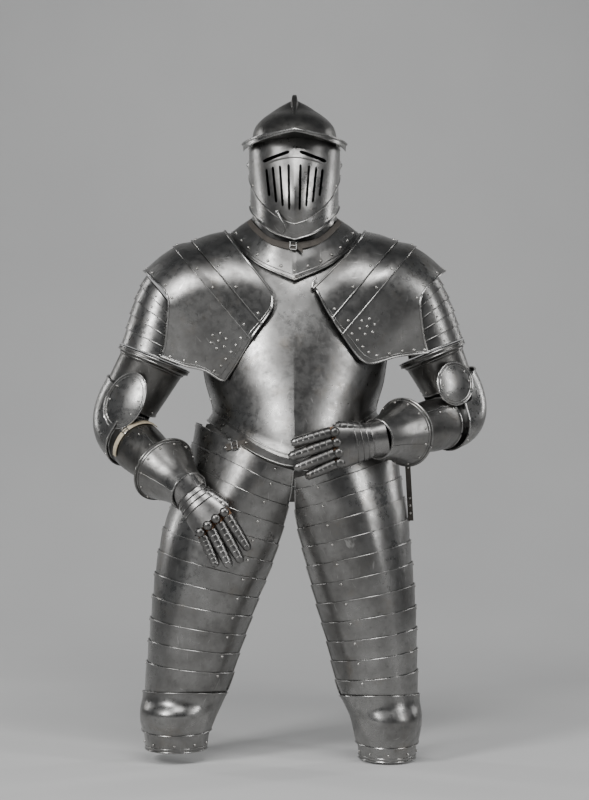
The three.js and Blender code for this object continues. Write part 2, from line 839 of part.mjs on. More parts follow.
const CUFF_STRAP = { along: 26, width: 11, out: 1.5, thickness: 2, from: 40, to: 185 };

// A buff strap holds the halves of the right lower cannon together.
function cuffStrap() {
  const { from, to, along, width, out, thickness } = CUFF_STRAP;
  const start = ARM[RIGHT].bend + along;
  const radius = lookUp(LOWER_CANNON, along).radius + out + thickness;
  const rows = [{ along: start, radius }, { along: start + width, radius }];
  return tube(foreStations(RIGHT, rows, 0), RIGHT, evenly(from, to, 8), thickness, false);
}

const cuffStart = side => ARM[side].wrist.distanceTo(ARM[side].elbow) - CUFF_LENGTH;
const roundAngles = count => evenly(0, 360 * (1 - 1 / count), count - 1);

// ---------------------------------------------------------------- gauntlet hands

const HAND = {
  [RIGHT]: {
    knuckles: point(-158, -212, -576),
    fingertips: point(-113, -206, -660),
    thumbSide: point(0.86, -0.1, 0.5),
  },
  [LEFT]: {
    knuckles: point(80, -221, -424),
    fingertips: point(-18, -221, -458),
    thumbSide: point(-0.2, -0.12, 0.97),
  },
};
const PALM = table(['along', 'half', 'thick'], [[-8, 31, 26], [20, 34, 22], [52, 40, 19], [84, 43, 15]]);
const FINGERS = table(['offset', 'spread', 'length', 'radius'], [
  [31, 4, 84, 11],
  [10.5, 1, 94, 11.5],
  [-10.5, -2, 88, 11.5],
  [-31, -5, 70, 10.5],
]);
const FINGER_SHAPE = table(['t', 'scale'], [[-0.2, 0.9], [0.1, 1.05], [0.85, 0.88], [1, 0.5]]);
const THUMB = { start: 20, out: 30, length: 62, radius: 12 };
const GLOVE_WALL = 1.8;

function handFrame(side) {
  const { knuckles, fingertips, thumbSide } = HAND[side];
  const { wrist } = ARM[side];
  const palm = knuckles.clone().sub(wrist).normalize();
  const fingers = fingertips.clone().sub(knuckles).normalize();
  const towardsThumb = thumbSide.clone().addScaledVector(palm, -thumbSide.dot(palm)).normalize();
  const back = point(0, 0, 0).crossVectors(palm, towardsThumb).normalize();
  if (back.y > 0) back.negate();
  return { wrist, knuckles, palm, fingers, towardsThumb, back };
}

function ovalRing(centre, wide, thick, half, depth, sides) {
  return roundAngles(sides).map(angle => centre.clone()
    .addScaledVector(wide, half * Math.cos(angle * DEG))
    .addScaledVector(thick, depth * Math.sin(angle * DEG)));
}

// The solid of a hand, inset all round; the difference of two such solids is the hollow gauntlet.
function handSolid(side, inset) {
  const frame = handFrame(side);
  const open = inset > 0 ? 6 : 0;
  const palm = solidLoft(PALM.map((row, i) => ovalRing(
    frame.wrist.clone().addScaledVector(frame.palm, i === 0 ? row.along - open : row.along - inset / 2),
    frame.towardsThumb, frame.back, row.half - inset, row.thick - inset, 8,
  )));
  const digits = FINGERS.map(({ offset, spread, length, radius }) => {
    const root = frame.knuckles.clone().addScaledVector(frame.towardsThumb, offset);
    const aim = frame.fingers.clone().addScaledVector(frame.towardsThumb, spread / 60).normalize();
    return solidLoft(FINGER_SHAPE.map(({ t, scale }) => ovalRing(
      root.clone().addScaledVector(aim, t * (length - inset)),
      frame.towardsThumb, frame.back, radius * scale - inset, radius * scale * 0.95 - inset, 6,
    )));
  });
  const thumbRoot = frame.wrist.clone().addScaledVector(frame.palm, THUMB.start);
  thumbRoot.addScaledVector(frame.towardsThumb, THUMB.out - 8);
  const thumbAim = frame.palm.clone().addScaledVector(frame.towardsThumb, 0.35).normalize();
  digits.push(solidLoft(FINGER_SHAPE.map(({ t, scale }) => ovalRing(
    thumbRoot.clone().addScaledVector(thumbAim, t * (THUMB.length - inset)),
    frame.towardsThumb, frame.back, THUMB.radius * scale - inset, THUMB.radius * scale - inset, 6,
  ))));
  return joined([palm, ...digits]);
}

// ---------------------------------------------------------------- legs

// half is half the width that a leg shows in front; half, front and y are for the plates' outer faces.
const LEG = {
  [RIGHT]: table(['z', 'x', 'half', 'y', 'front', 'wrap', 'ridge'], [
    [-1060, -241, 58, -62, 74, 84, 34],
    [-984, -238, 70, -66, 84, 84, 34],
    [-915, -220, 84, -68, 90, 82, 33],
    [-850, -207, 91, -66, 96, 80, 31],
    [-739, -183, 106, -54, 112, 76, 27],
    [-662, -164, 117, -38, 129, 64, 22],
    [-576, -142, 121, -24, 142, 50, 18],
    [-494, -116, 111, -10, 154, 30, 15],
    [-400, -104, 102, 0, 153, 6, 14],
  ]),
  [LEFT]: table(['z', 'x', 'half', 'y', 'front', 'wrap', 'ridge'], [
    [-1080, 189, 54, -56, 74, 84, 34],
    [-978, 186, 67, -62, 86, 84, 34],
    [-921, 171, 79, -64, 92, 82, 33],
    [-821, 158, 90, -62, 100, 80, 31],
    [-750, 147, 99, -58, 106, 76, 28],
    [-641, 129, 109, -36, 130, 62, 22],
    [-568, 118, 114, -22, 142, 48, 18],
    [-515, 112, 110, -13, 150, 34, 16],
    [-400, 104, 102, 0, 153, 6, 14],
  ]),
};
const LEG_BACK = 80;
const RIDGE_HEIGHT = 0.04;
const RIDGE_REACH = 55;

// across counts degrees from the front towards the outside of the leg; -90 is the inner border.
function legArc(side, z, across) {
  const at = lookUp(LEG[side], z);
  const angle = across < 0 ? across * at.wrap / 90 : across;
  const radius = 2 * at.half / (1 + Math.sin(at.wrap * DEG));
  const outwards = at.half - radius + radius * Math.sin(angle * DEG);
  return { at, angle, outwards };
}

function legSurface(side) {
  return (across, z) => {
    const { at, angle, outwards } = legArc(side, z, across);
    const ridge = 1 + RIDGE_HEIGHT * Math.max(0, 1 - Math.abs(across - at.ridge) / RIDGE_REACH);
    const cos = Math.cos(angle * DEG);
    const depth = cos > 0 ? at.front : LEG_BACK;
    return point(at.x + side * outwards * ridge, at.y - depth * cos * ridge, z);
  };
}

const LEG_ACROSS = [-90, -56, -25, 4, 33, 60, 86, 110];
const LAME_TOPS = {
  [RIGHT]: { first: -424, second: -461, slant: 22 },
  [LEFT]: { first: -440, second: -478, slant: 17 },
};
const KNEE_SLANT = 6.5;
const KNEE_PLATE_BOTTOM = { [RIGHT]: -962, [LEFT]: -985 };

// Height of the top edge of a lame: each edge rises towards the outside of the leg.
function lameTop(side, index) {
  const { first, second, slant } = LAME_TOPS[side];
  const centre = index === 0 ? first : second - (index - 1) * LAME_EXPOSURE;
  const tilt = index === 0 ? 24 : mix(slant, KNEE_SLANT, (index - 1) / (LAMES_PER_LEG - 2));
  return across => centre + Math.tan(tilt * DEG) * legArc(side, centre, across).outwards;
}

function legLame(side, index) {
  const isKnee = index === LAMES_PER_LEG - 1;
  const top = lameTop(side, index);
  const next = isKnee ? null : lameTop(side, index + 1);
  const bottom = KNEE_PLATE_BOTTOM[side];
  const rows = isKnee
    ? [{ along: bottom, out: 0 }, { along: mix(top(0), bottom, 0.5), out: 0.6 }]
    : [{ along: at => next(at) - LAME_OVERLAP, out: 0 }, { along: next, out: 0.5 }];
  rows.push({ along: top, out: LAME_FLARE });
  return plate({ surface: legSurface(side), across: LEG_ACROSS, rows, wall: LAME, side });
}

const POLEYN = {
  [RIGHT]: { top: -924, bottom: -1000, lameBottom: -1040 },
  [LEFT]: { top: -930, bottom: -1026, lameBottom: -1060 },
};

function poleyn(side) {
  const { top, bottom } = POLEYN[side];
  const dome = (t, out, bulge) => ({
    along: across => mix(top, bottom, t) + (t === 0 ? 8 : -4) * Math.cos(across * DEG),
    out: across => out + bulge * Math.max(Math.cos((across - 8) * DEG), 0) ** 2,
  });
  return plate({
    surface: legSurface(side),
    across: LEG_ACROSS,
    rows: [dome(1, 3.4, 0), dome(0.72, 5, 12), dome(0.4, 5, 16), dome(0.12, 4, 3), dome(0, 5, 0)],
    wall: PLATE,
    side,
  });
}

function poleynLame(side) {
  const { bottom, lameBottom } = POLEYN[side];
  return plate({
    surface: legSurface(side),
    across: LEG_ACROSS,
    rows: [
      { along: lameBottom, out: 1.5 },
      { along: bottom - 4, out: 0.2 },
      { along: bottom + 12, out: 0.2 },
    ],
    wall: LAME,
    side,
  });
}

// ---------------------------------------------------------------- assembly

const visorGroup = new THREE.Group();
armour.add(visorGroup);

add('helmet_skull', helmetSkull(), DARK_STEEL);
add('helmet_bevor', helmetBevor());
add('helmet_visor', helmetVisor(), STEEL, visorGroup);
add('helmet_peak', helmetPeak(), DARK_STEEL, visorGroup);
add('visor_hook', visorHook(), DARK_STEEL, visorGroup);
add('helmet_neck_strap', neckStrap(), BROWN_LEATHER);
add('gorget_front', gorget(-89, 89));
add('gorget_back', gorget(91, 269));
add('breastplate', breastplate());
add('backplate', backplate());
add('culet', culet(), DARK_STEEL);

add('cuff_strap', cuffStrap(), BUFF_LEATHER);

for (const side of [RIGHT, LEFT]) {
  const name = sideName(side);
  pauldron(side);
  add(`arm_lames_${name}`, armLames(side));
  add(`upper_cannon_${name}`, upperCannon(side), DARK_STEEL);
  add(`couter_${name}`, couter(side));
  const cannonStations = foreStations(side, LOWER_CANNON, ARM[side].bend);
  add(`lower_cannon_${name}`, tube(cannonStations, side, roundAngles(12), PLATE, true), DARK_STEEL);
  const cuffStations = foreStations(side, CUFF, cuffStart(side));
  add(`gauntlet_cuff_${name}`, tube(cuffStations, side, roundAngles(12), PLATE, true));
  add(`gauntlet_hand_${name}`, fromSolid(handSolid(side, 0).subtract(handSolid(side, GLOVE_WALL))));
  for (let index = 0; index < LAMES_PER_LEG; index += 1) {
    add(`tasset_lame_${name}_${index + 1}`, legLame(side, index));
  }
  add(`poleyn_${name}`, poleyn(side));
  add(`poleyn_lame_${name}`, poleynLame(side));
}

export default armour;
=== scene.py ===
"""Cuirassier's three-quarter armour of dark steel, about 1600 to 1630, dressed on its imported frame.

Lengths below are millimetres unless a comment says metres; meshes are made in metres.
Front is -Y and the wearer's right is -X.
Most of the named tables repeat those that the solids are made from, so each fine plate lies on its solid.
"""

import json
import math

import bmesh
import bpy
import numpy as np
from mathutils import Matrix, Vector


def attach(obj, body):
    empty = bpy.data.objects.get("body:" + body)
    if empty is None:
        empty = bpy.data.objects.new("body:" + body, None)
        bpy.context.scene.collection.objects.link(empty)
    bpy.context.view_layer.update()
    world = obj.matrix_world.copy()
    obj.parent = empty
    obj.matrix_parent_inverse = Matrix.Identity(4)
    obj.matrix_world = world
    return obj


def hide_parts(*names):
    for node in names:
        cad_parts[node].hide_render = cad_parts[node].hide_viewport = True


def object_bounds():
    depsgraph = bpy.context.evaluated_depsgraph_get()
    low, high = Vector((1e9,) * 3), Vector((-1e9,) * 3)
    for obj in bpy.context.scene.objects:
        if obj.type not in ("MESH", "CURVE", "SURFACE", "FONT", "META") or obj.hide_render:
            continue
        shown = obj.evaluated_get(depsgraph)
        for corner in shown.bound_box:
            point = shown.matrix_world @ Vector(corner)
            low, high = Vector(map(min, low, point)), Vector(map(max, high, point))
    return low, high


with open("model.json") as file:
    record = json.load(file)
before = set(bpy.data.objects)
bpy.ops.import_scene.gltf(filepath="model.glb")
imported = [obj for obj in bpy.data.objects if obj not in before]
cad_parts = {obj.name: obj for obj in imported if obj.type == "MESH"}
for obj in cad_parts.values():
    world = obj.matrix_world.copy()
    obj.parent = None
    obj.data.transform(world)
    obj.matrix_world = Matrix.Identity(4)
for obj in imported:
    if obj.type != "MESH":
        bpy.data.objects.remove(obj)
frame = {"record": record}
cad_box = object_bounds()

MM = 0.001
RIGHT, LEFT = -1, 1
SIDES = {"right": RIGHT, "left": LEFT}
UP = np.array([0.0, 0.0, 1.0])
FRONT = np.array([0.0, -1.0, 0.0])
PLATE = 2.0
LAME = 1.5
FACE_PLATE = 1.8
PIVOT_HEIGHT = 155.0
PIVOT_REACH = 95.2


# ---------------------------------------------------------------- numbers, tables and vectors

def vec(*xyz):
    return np.array(xyz, float)


def unit(v):
    return v / np.maximum(np.linalg.norm(v, axis=-1, keepdims=True), 1e-12)


def mix(a, b, t):
    return a + (b - a) * t


def stack(x, y, z):
    return np.stack(np.broadcast_arrays(x, y, z), axis=-1)


def power(value, exponent):
    return np.sign(value) * np.abs(value) ** exponent


class Table:
    """Rows under named columns, read smoothly by the first column, which rises."""

    def __init__(self, columns, *rows):
        self.columns = columns.split()
        self.rows = np.array(rows, float)

    def __call__(self, at):
        at = np.asarray(at, float)
        rows = self.rows
        keys = rows[:, 0]
        last = len(keys) - 1
        i = np.clip(np.searchsorted(keys, at) - 1, 0, last - 1)
        span = keys[i + 1] - keys[i]
        along = (at - keys[i]) / span
        t = np.clip(along, 0, 1)[..., None]

        def slope(n):
            before = np.maximum(n - 1, 0)
            after = np.minimum(n + 1, last)
            return span[..., None] * (rows[after] - rows[before]) / (keys[after] - keys[before])[..., None]

        start, end = slope(i), slope(i + 1)
        low, high = rows[i], rows[i + 1]
        bend = t * (1 - t) * (mix(start, -end, t) + (high - low) * (2 * t - 1))
        past = (along[..., None] - t) * np.where(along[..., None] < 0, start, end)
        found = mix(low, high, t) + bend + past
        return {name: found[..., k] for k, name in enumerate(self.columns)}


# ---------------------------------------------------------------- materials

def node_tree(name):
    material = bpy.data.materials.new(name)
    material.use_nodes = True
    tree = material.node_tree
    tree.nodes.clear()
    output = tree.nodes.new("ShaderNodeOutputMaterial")
    shader = tree.nodes.new("ShaderNodeBsdfPrincipled")
    tree.links.new(shader.outputs["BSDF"], output.inputs["Surface"])
    return material, tree, shader


def noise(tree, scale, detail=4.0, roughness=0.55, stretch=None):
    coordinates = tree.nodes.new("ShaderNodeTexCoord")
    node = tree.nodes.new("ShaderNodeTexNoise")
    node.inputs["Scale"].default_value = scale
    node.inputs["Detail"].default_value = detail
    node.inputs["Roughness"].default_value = roughness
    source = coordinates.outputs["Object"]
    if stretch:
        mapping = tree.nodes.new("ShaderNodeMapping")
        mapping.inputs["Rotation"].default_value = stretch[0]
        mapping.inputs["Scale"].default_value = stretch[1]
        tree.links.new(source, mapping.inputs["Vector"])
        source = mapping.outputs["Vector"]
    tree.links.new(source, node.inputs["Vector"])
    return node.outputs["Fac"]


def ramp(tree, value, low, high, bottom=0.0, top=1.0):
    node = tree.nodes.new("ShaderNodeMapRange")
    node.inputs["From Min"].default_value = low
    node.inputs["From Max"].default_value = high
    node.inputs["To Min"].default_value = bottom
    node.inputs["To Max"].default_value = top
    tree.links.new(value, node.inputs["Value"])
    return node.outputs["Result"]


def blend_colour(tree, amount, a, b, mode="MIX"):
    node = tree.nodes.new("ShaderNodeMix")
    node.data_type = "RGBA"
    node.blend_type = mode
    for socket, value in (("Factor", amount), ("A", a), ("B", b)):
        slot = next(s for s in node.inputs if s.name == socket and s.enabled)
        if isinstance(value, (tuple, list)):
            slot.default_value = (*value, 1.0)
        elif isinstance(value, float):
            slot.default_value = value
        else:
            tree.links.new(value, slot)
    return next(s for s in node.outputs if s.enabled)


def add_up(tree, a, b):
    node = tree.nodes.new("ShaderNodeMath")
    node.operation = "ADD"
    tree.links.new(a, node.inputs[0])
    tree.links.new(b, node.inputs[1])
    return node.outputs[0]


def bump(tree, shader, layers):
    """Each layer is a height and its strength and depth in metres."""
    previous = None
    for height, strength, depth in layers:
        node = tree.nodes.new("ShaderNodeBump")
        node.inputs["Strength"].default_value = strength
        node.inputs["Distance"].default_value = depth
        tree.links.new(height, node.inputs["Height"])
        if previous:
            tree.links.new(previous, node.inputs["Normal"])
        previous = node.outputs["Normal"]
    tree.links.new(previous, shader.inputs["Normal"])


def steel(name, bright, dark, rough=0.30, patina=0.35):
    """Old polished steel: blotched patina, brown stains, scratches and slight hammer waves."""
    material, tree, shader = node_tree(name)
    shader.inputs["Metallic"].default_value = 1.0
    blotch = noise(tree, 9.0, 6.0, 0.62)
    speck = noise(tree, 70.0, 8.0, 0.7)
    stain = noise(tree, 17.0, 7.0, 0.68)
    scratch = noise(tree, 30.0, 3.0, 0.6, ((0.5, 0.3, 0.9), (1.0, 14.0, 0.7)))
    cross_scratch = noise(tree, 34.0, 3.0, 0.6, ((0.2, 0.9, 0.1), (15.0, 1.0, 0.8)))
    colour = blend_colour(tree, ramp(tree, blotch, 0.36, 0.64), dark, bright)
    pits = ramp(tree, speck, 0.56, 0.74, 0.0, patina)
    colour = blend_colour(tree, pits, colour, tuple(0.45 * c for c in dark))
    brown = ramp(tree, stain, 0.56, 0.80, 0.0, 0.5)
    colour = blend_colour(tree, brown, colour, (0.20, 0.165, 0.125))
    lines = add_up(tree, ramp(tree, scratch, 0.66, 0.74), ramp(tree, cross_scratch, 0.67, 0.75))
    colour = blend_colour(tree, ramp(tree, lines, 0.0, 1.0, 0.0, 0.3), colour, (0.72, 0.71, 0.69))
    tree.links.new(colour, shader.inputs["Base Color"])
    roughness = add_up(
        tree,
        ramp(tree, blotch, 0.3, 0.7, rough + 0.07, rough - 0.05),
        ramp(tree, speck, 0.4, 0.75, 0.0, 0.16),
    )
    tree.links.new(roughness, shader.inputs["Roughness"])
    waves = noise(tree, 14.0, 2.0, 0.5)
    bump(tree, shader, [(waves, 0.35, 0.0016), (speck, 0.12, 0.0004), (lines, 0.10, 0.0003)])
    return material


def leather(name, light, dark, rough=0.7):
    material, tree, shader = node_tree(name)
    shade = noise(tree, 30.0, 6.0, 0.65)
    grain = noise(tree, 420.0, 4.0, 0.6)
    cracks = noise(tree, 120.0, 5.0, 0.7, ((0.0, 0.4, 0.2), (1.0, 1.0, 3.5)))
    colour = blend_colour(tree, ramp(tree, shade, 0.35, 0.68), dark, light)
    worn = ramp(tree, cracks, 0.55, 0.72, 0.0, 0.55)
    colour = blend_colour(tree, worn, colour, tuple(0.4 * c for c in dark))
    tree.links.new(colour, shader.inputs["Base Color"])
    tree.links.new(ramp(tree, grain, 0.3, 0.7, rough - 0.1, rough + 0.15), shader.inputs["Roughness"])
    bump(tree, shader, [(grain, 0.4, 0.0004), (cracks, 0.5, 0.0008)])
    return material


PLATE_STEEL = steel("plate_steel", (0.31, 0.307, 0.30), (0.155, 0.152, 0.147), 0.27, 0.5)
DARK_STEEL = steel("dark_steel", (0.20, 0.197, 0.19), (0.095, 0.092, 0.087), 0.30, 0.5)
HAND_STEEL = steel("gauntlet_steel", (0.27, 0.265, 0.26), (0.12, 0.118, 0.114), 0.27, 0.4)
EDGE_STEEL = steel("edge_steel", (0.36, 0.357, 0.35), (0.18, 0.177, 0.17), 0.25, 0.4)
RIVET_STEEL = steel("rivet_steel", (0.58, 0.57, 0.55), (0.30, 0.29, 0.27), 0.24, 0.3)
BROWN_LEATHER = leather("brown_leather", (0.075, 0.065, 0.055), (0.032, 0.027, 0.022))
BUFF_LEATHER = leather("buff_leather", (0.62, 0.55, 0.42), (0.36, 0.30, 0.21), 0.8)
GLOVE_LEATHER = leather("glove_leather", (0.33, 0.17, 0.085), (0.14, 0.075, 0.04), 0.75)
BODY_OF = {name: body for body, names in frame["record"]["behaviour"]["bodies"].items() for name in names}
SLOT_OF = {row["node"]: row["material_slot"] for row in frame["record"]["subparts"]}


# ---------------------------------------------------------------- meshes

def shade(mesh, sharp=28.0):
    mesh.shade_smooth()
    mesh.set_sharp_from_angle(angle=math.radians(sharp))


def add_object(name, data):
    obj = bpy.data.objects.new(name, data)
    bpy.context.scene.collection.objects.link(obj)
    return obj


def outward_mesh(name, points, faces):
    """A mesh in metres whose faces all look outwards."""
    mesh = bpy.data.meshes.new(name)
    mesh.from_pydata([tuple(p) for p in np.asarray(points) * MM], [], [tuple(f) for f in faces])
    work = bmesh.new()
    work.from_mesh(mesh)
    bmesh.ops.recalc_face_normals(work, faces=work.faces)
    work.to_mesh(mesh)
    work.free()
    return mesh


def piece(name, points, faces, material, body="armour", node=None, slot=None, sharp=28.0, bevel=0.0):
    """A closed mesh that rides on a body and, if a node is named, stands for that solid."""
    mesh = outward_mesh(name, points, faces)
    shade(mesh, sharp)
    mesh.materials.append(material)
    obj = add_object(name, mesh)
    if node:
        body = BODY_OF[node]
        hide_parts(node)
    slot or (SLOT_OF[node] if node else "plate_steel")
    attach(obj, body)
    if bevel:
        modifier = obj.modifiers.new("edge", "BEVEL")
        modifier.width = bevel * MM
        modifier.segments = 2
        modifier.limit_method = "ANGLE"
        modifier.angle_limit = math.radians(50)
    return obj


ROUND = np.linspace(0, 355, 72)


def grid_faces(rows, columns, closed=False, first=0):
    spans = columns if closed else columns - 1
    row, column = np.meshgrid(np.arange(rows - 1), np.arange(spans), indexing="ij")
    across = (column + 1) % columns
    here, beyond = row * columns, (row + 1) * columns
    corners = (here + column, here + across, beyond + across, beyond + column)
    return np.stack(corners, axis=-1).reshape(-1, 4) + first


def wall(outer, inner, closed=False):
    """Points and faces of the wall between two grids of points."""
    rows, columns = outer.shape[:2]
    behind = rows * columns
    points = np.concatenate([outer.reshape(-1, 3), inner.reshape(-1, 3)])
    faces = [grid_faces(rows, columns, closed), grid_faces(rows, columns, closed, behind)[:, ::-1]]
    spans = np.arange(columns if closed else columns - 1)
    ahead = (spans + 1) % columns
    for start in (0, (rows - 1) * columns):
        a, b = spans + start, ahead + start
        faces.append(np.stack([a, b, b + behind, a + behind], axis=-1))
    if not closed:
        down = np.arange(rows - 1) * columns
        for start in (0, columns - 1):
            a, b = down + start, down + columns + start
            faces.append(np.stack([a, b, b + behind, a + behind], axis=-1))
    return points, np.concatenate(faces)


def merge(parts):
    """One mesh from many (points, faces) pairs."""
    points, faces, count = [], [], 0
    for part_points, part_faces in parts:
        points.append(np.asarray(part_points, float))
        faces.extend([tuple(int(i) + count for i in face) for face in part_faces])
        count += len(part_points)
    return np.concatenate(points), faces


def normals(surface, across, along, side=1):
    step = 0.05
    over = surface(across + step, along) - surface(across - step, along)
    down = surface(across, along + step) - surface(across, along - step)
    return unit(np.cross(over, down)) * side


def spot(surface, across, along, out=0.0, side=1):
    """A point of a surface, moved out, and its normal."""
    across, along = np.asarray(across, float), np.asarray(along, float)
    normal = normals(surface, across, along, side)
    return surface(across, along) + normal * np.asarray(out)[..., None], normal


def rows_between(rows, across, spacing):
    """Each row is (along, out), as numbers or functions of across; returns dense grids of both."""
    def value(entry):
        found = entry(across) if callable(entry) else entry
        return np.broadcast_to(np.asarray(found, float), across.shape)

    along = np.stack([value(row[0]) for row in rows])
    out = np.stack([value(row[1]) for row in rows])
    dense_along, dense_out = [along[:1]], [out[:1]]
    for i in range(len(rows) - 1):
        longest = np.max(np.abs(along[i + 1] - along[i]))
        count = max(1, int(math.ceil(longest / spacing)))
        t = (np.arange(1, count + 1) / count)[:, None]
        dense_along.append(mix(along[i], along[i + 1], t))
        dense_out.append(mix(out[i], out[i + 1], t))
    return np.concatenate(dense_along), np.concatenate(dense_out)


def shell(surface, across, rows, thickness, side=1, spacing=8.0, closed=False):
    """The fine wall of a plate on a surface."""
    across = np.asarray(across, float)
    along, out = rows_between(rows, across, spacing)
    base, normal = spot(surface, np.broadcast_to(across, along.shape), along, out, side)
    return wall(base, base - normal * thickness, closed)


def tube_mesh(path, radius, sides=8, closed=False, lift=None):
    """A rod along a path; radius may vary by point, and lift keeps its rings from twisting."""
    path = np.asarray(path, float)
    if closed:
        ahead = np.roll(path, -1, 0) - np.roll(path, 1, 0)
    else:
        ahead = np.gradient(path, axis=0)
    ahead = unit(ahead)
    reference = np.broadcast_to(UP if lift is None else lift, path.shape)
    if lift is None:
        steep = np.abs(ahead[:, 2]) > 0.9
        reference = np.where(steep[:, None], FRONT, reference)
    sideways = unit(np.cross(ahead, reference))
    upwards = np.cross(sideways, ahead)
    radius = np.broadcast_to(np.asarray(radius, float), (len(path),))[:, None, None]
    angles = np.arange(sides) * 2 * math.pi / sides
    cos, sin = np.cos(angles)[None, :, None], np.sin(angles)[None, :, None]
    rings = path[:, None] + radius * (cos * sideways[:, None] + sin * upwards[:, None])
    count = len(path)
    points = rings.reshape(-1, 3)
    if closed:
        faces = grid_faces(count + 1, sides, True) % (count * sides)
        return points, list(map(tuple, faces))
    faces = list(map(tuple, grid_faces(count, sides, True)))
    faces.append(tuple(range(sides))[::-1])
    faces.append(tuple(range((count - 1) * sides, count * sides)))
    return points, faces


def bead(surface, across, along, out, radius, sides=8, side=1):
    """A rod that lies along a line of a surface."""
    across, along = np.broadcast_arrays(np.asarray(across, float), np.asarray(along, float))
    return tube_mesh(spot(surface, across, along, out, side)[0], radius, sides)


def resample(path, spacing):
    """The same path with even steps."""
    path = np.asarray(path, float)
    steps = np.concatenate([[0], np.cumsum(np.linalg.norm(np.diff(path, axis=0), axis=1))])
    count = max(2, int(round(steps[-1] / spacing)) + 1)
    at = np.linspace(0, steps[-1], count)
    return np.stack([np.interp(at, steps, path[:, k]) for k in range(3)], axis=-1)


def dome_mesh(centre, normal, radius, height, sides=10):
    """A domed rivet head that stands on a surface."""
    normal = unit(np.asarray(normal, float))
    spare = UP if abs(normal[2]) < 0.8 else FRONT
    wide = unit(np.cross(spare, normal))
    tall = np.cross(normal, wide)
    angles = np.arange(sides) * 2 * math.pi / sides
    ring = np.cos(angles)[:, None] * wide + np.sin(angles)[:, None] * tall
    levels = [(1.0, -0.6), (1.0, 0.12), (0.86, 0.55), (0.5, 0.9)]
    rings = [centre + ring * radius * r + normal * height * h for r, h in levels]
    points = np.concatenate([*rings, [centre + normal * height]])
    faces = list(map(tuple, grid_faces(len(levels), sides, True)))
    top = len(levels) * sides
    start = top - sides
    faces += [(start + i, start + (i + 1) % sides, top) for i in range(sides)]
    faces.append(tuple(range(sides))[::-1])
    return points, faces


RIVET = 3.3
RIVET_HEIGHT = 2.6


def rivets(name, places, body="armour", radius=RIVET, height=RIVET_HEIGHT, material=None):
    """One mesh of rivet heads at (point, normal) places."""
    parts = [dome_mesh(point, normal, radius, height) for point, normal in places]
    points, faces = merge(parts)
    return piece(name, points, faces, material or RIVET_STEEL, body, sharp=50.0)


def rivet_row(surface, across, along, out, side=1):
    across, along = np.broadcast_arrays(np.asarray(across, float), np.asarray(along, float))
    points, normal = spot(surface, across, along, out, side)
    return list(zip(points.reshape(-1, 3), normal.reshape(-1, 3)))


# ---------------------------------------------------------------- rings and plates of revolution

def ring_surface(rings):
    """Angle 0 faces the front and 90 the wearer's left."""
    def surface(angle, z):
        ring = rings(z)
        turn = np.radians(angle)
        sin, cos = np.sin(turn), np.cos(turn)
        exponent = 2 / ring.get("bulge", 2.1)
        centre = ring.get("centre", 0.0)
        keel = np.where(cos > 0, ring.get("keel", 0.0) * (1 - np.abs(sin)) ** 2, 0.0)
        depth = np.where(cos > 0, ring["front"], ring["back"])
        return stack(ring["half"] * power(sin, exponent), centre - depth * power(cos, exponent) - keel, z)
    return surface


def mirrored(angles):
    return np.concatenate([-np.asarray(angles, float)[:0:-1], angles])


# ---------------------------------------------------------------- helmet

SKULL = Table(
    "z half front back centre",
    [64, 86, 98, 98, 6],
    [115, 88.8, 110, 112, 4],
    [155, 88.8, 112, 112, 4],
    [185, 88.6, 108.5, 108.5, 5],
    [210, 87.5, 100.5, 100.5, 6.5],
    [233, 82, 89, 89, 10],
    [251, 67, 73, 73, 14],
    [267, 46, 47, 47, 17.5],
    [280, 26, 27, 27, 16],
    [291, 3.4, 11, 11, 13],
)
COMB = Table(
    "angle edge root",
    [40, 110, 104],
    [62, 113.5, 104],
    [75, 122, 108],
    [85, 136, 117],
    [93, 147, 126],
    [105, 150, 128],
    [120, 146, 124],
    [135, 141, 124],
    [150, 132, 116],
    [165, 124, 112],
    [180, 119, 111],
)
COMB_WIDTH = Table("angle half", [40, 5], [66, 6.5], [78, 10], [86, 13], [96, 10], [115, 7], [180, 6])
VISOR = Table(
    "z half front back keel bulge",
    [10, 82, 122, 110, 9, 2],
    [45, 88, 133, 114, 11, 2.1],
    [80, 91.8, 135, 117, 12, 2.15],
    [120, 93.8, 128, 117, 10, 2.3],
    [160, 94.3, 117, 117, 8, 2.5],
    [190, 94.3, 109, 115, 6, 2.5],
    [206, 94, 104, 114, 5, 2.5],
)
VISOR_EDGES = Table(
    "angle low high",
    [0, 20, 203],
    [20, 32, 202],
    [45, 64, 199],
    [70, 104, 195],
    [90, 128, 190],
    [98, 136, 182],
)
BREATHS = Table(
    "top_x top_z foot_x foot_z",
    [12, 143.5, 10.5, 50],
    [29.5, 141.3, 23.5, 58],
    [44, 139.3, 36.6, 66],
    [57, 136, 50.7, 80],
)
BEVOR = Table(
    "z half front back centre keel bulge",
    [-10, 84, 108, 104, 0, 4, 2.1],
    [20, 88, 124, 108, 0, 6, 2.1],
    [45, 90, 127, 111, 0, 7, 2.1],
    [80, 91.2, 125, 115, 0, 7, 2.15],
    [120, 91, 118, 118, 0, 5, 2.2],
    [155, 91.2, 110, 118.5, 0, 4, 2.3],
)
BEVOR_EDGES = Table(
    "angle low high",
    [0, -8, 48],
    [30, 8, 56],
    [60, 40, 92],
    [90, 67, 148],
    [105, 70, 140],
)


SKULL_FOOT, BROW, SKULL_TOP = 64, 178.0, 291.0


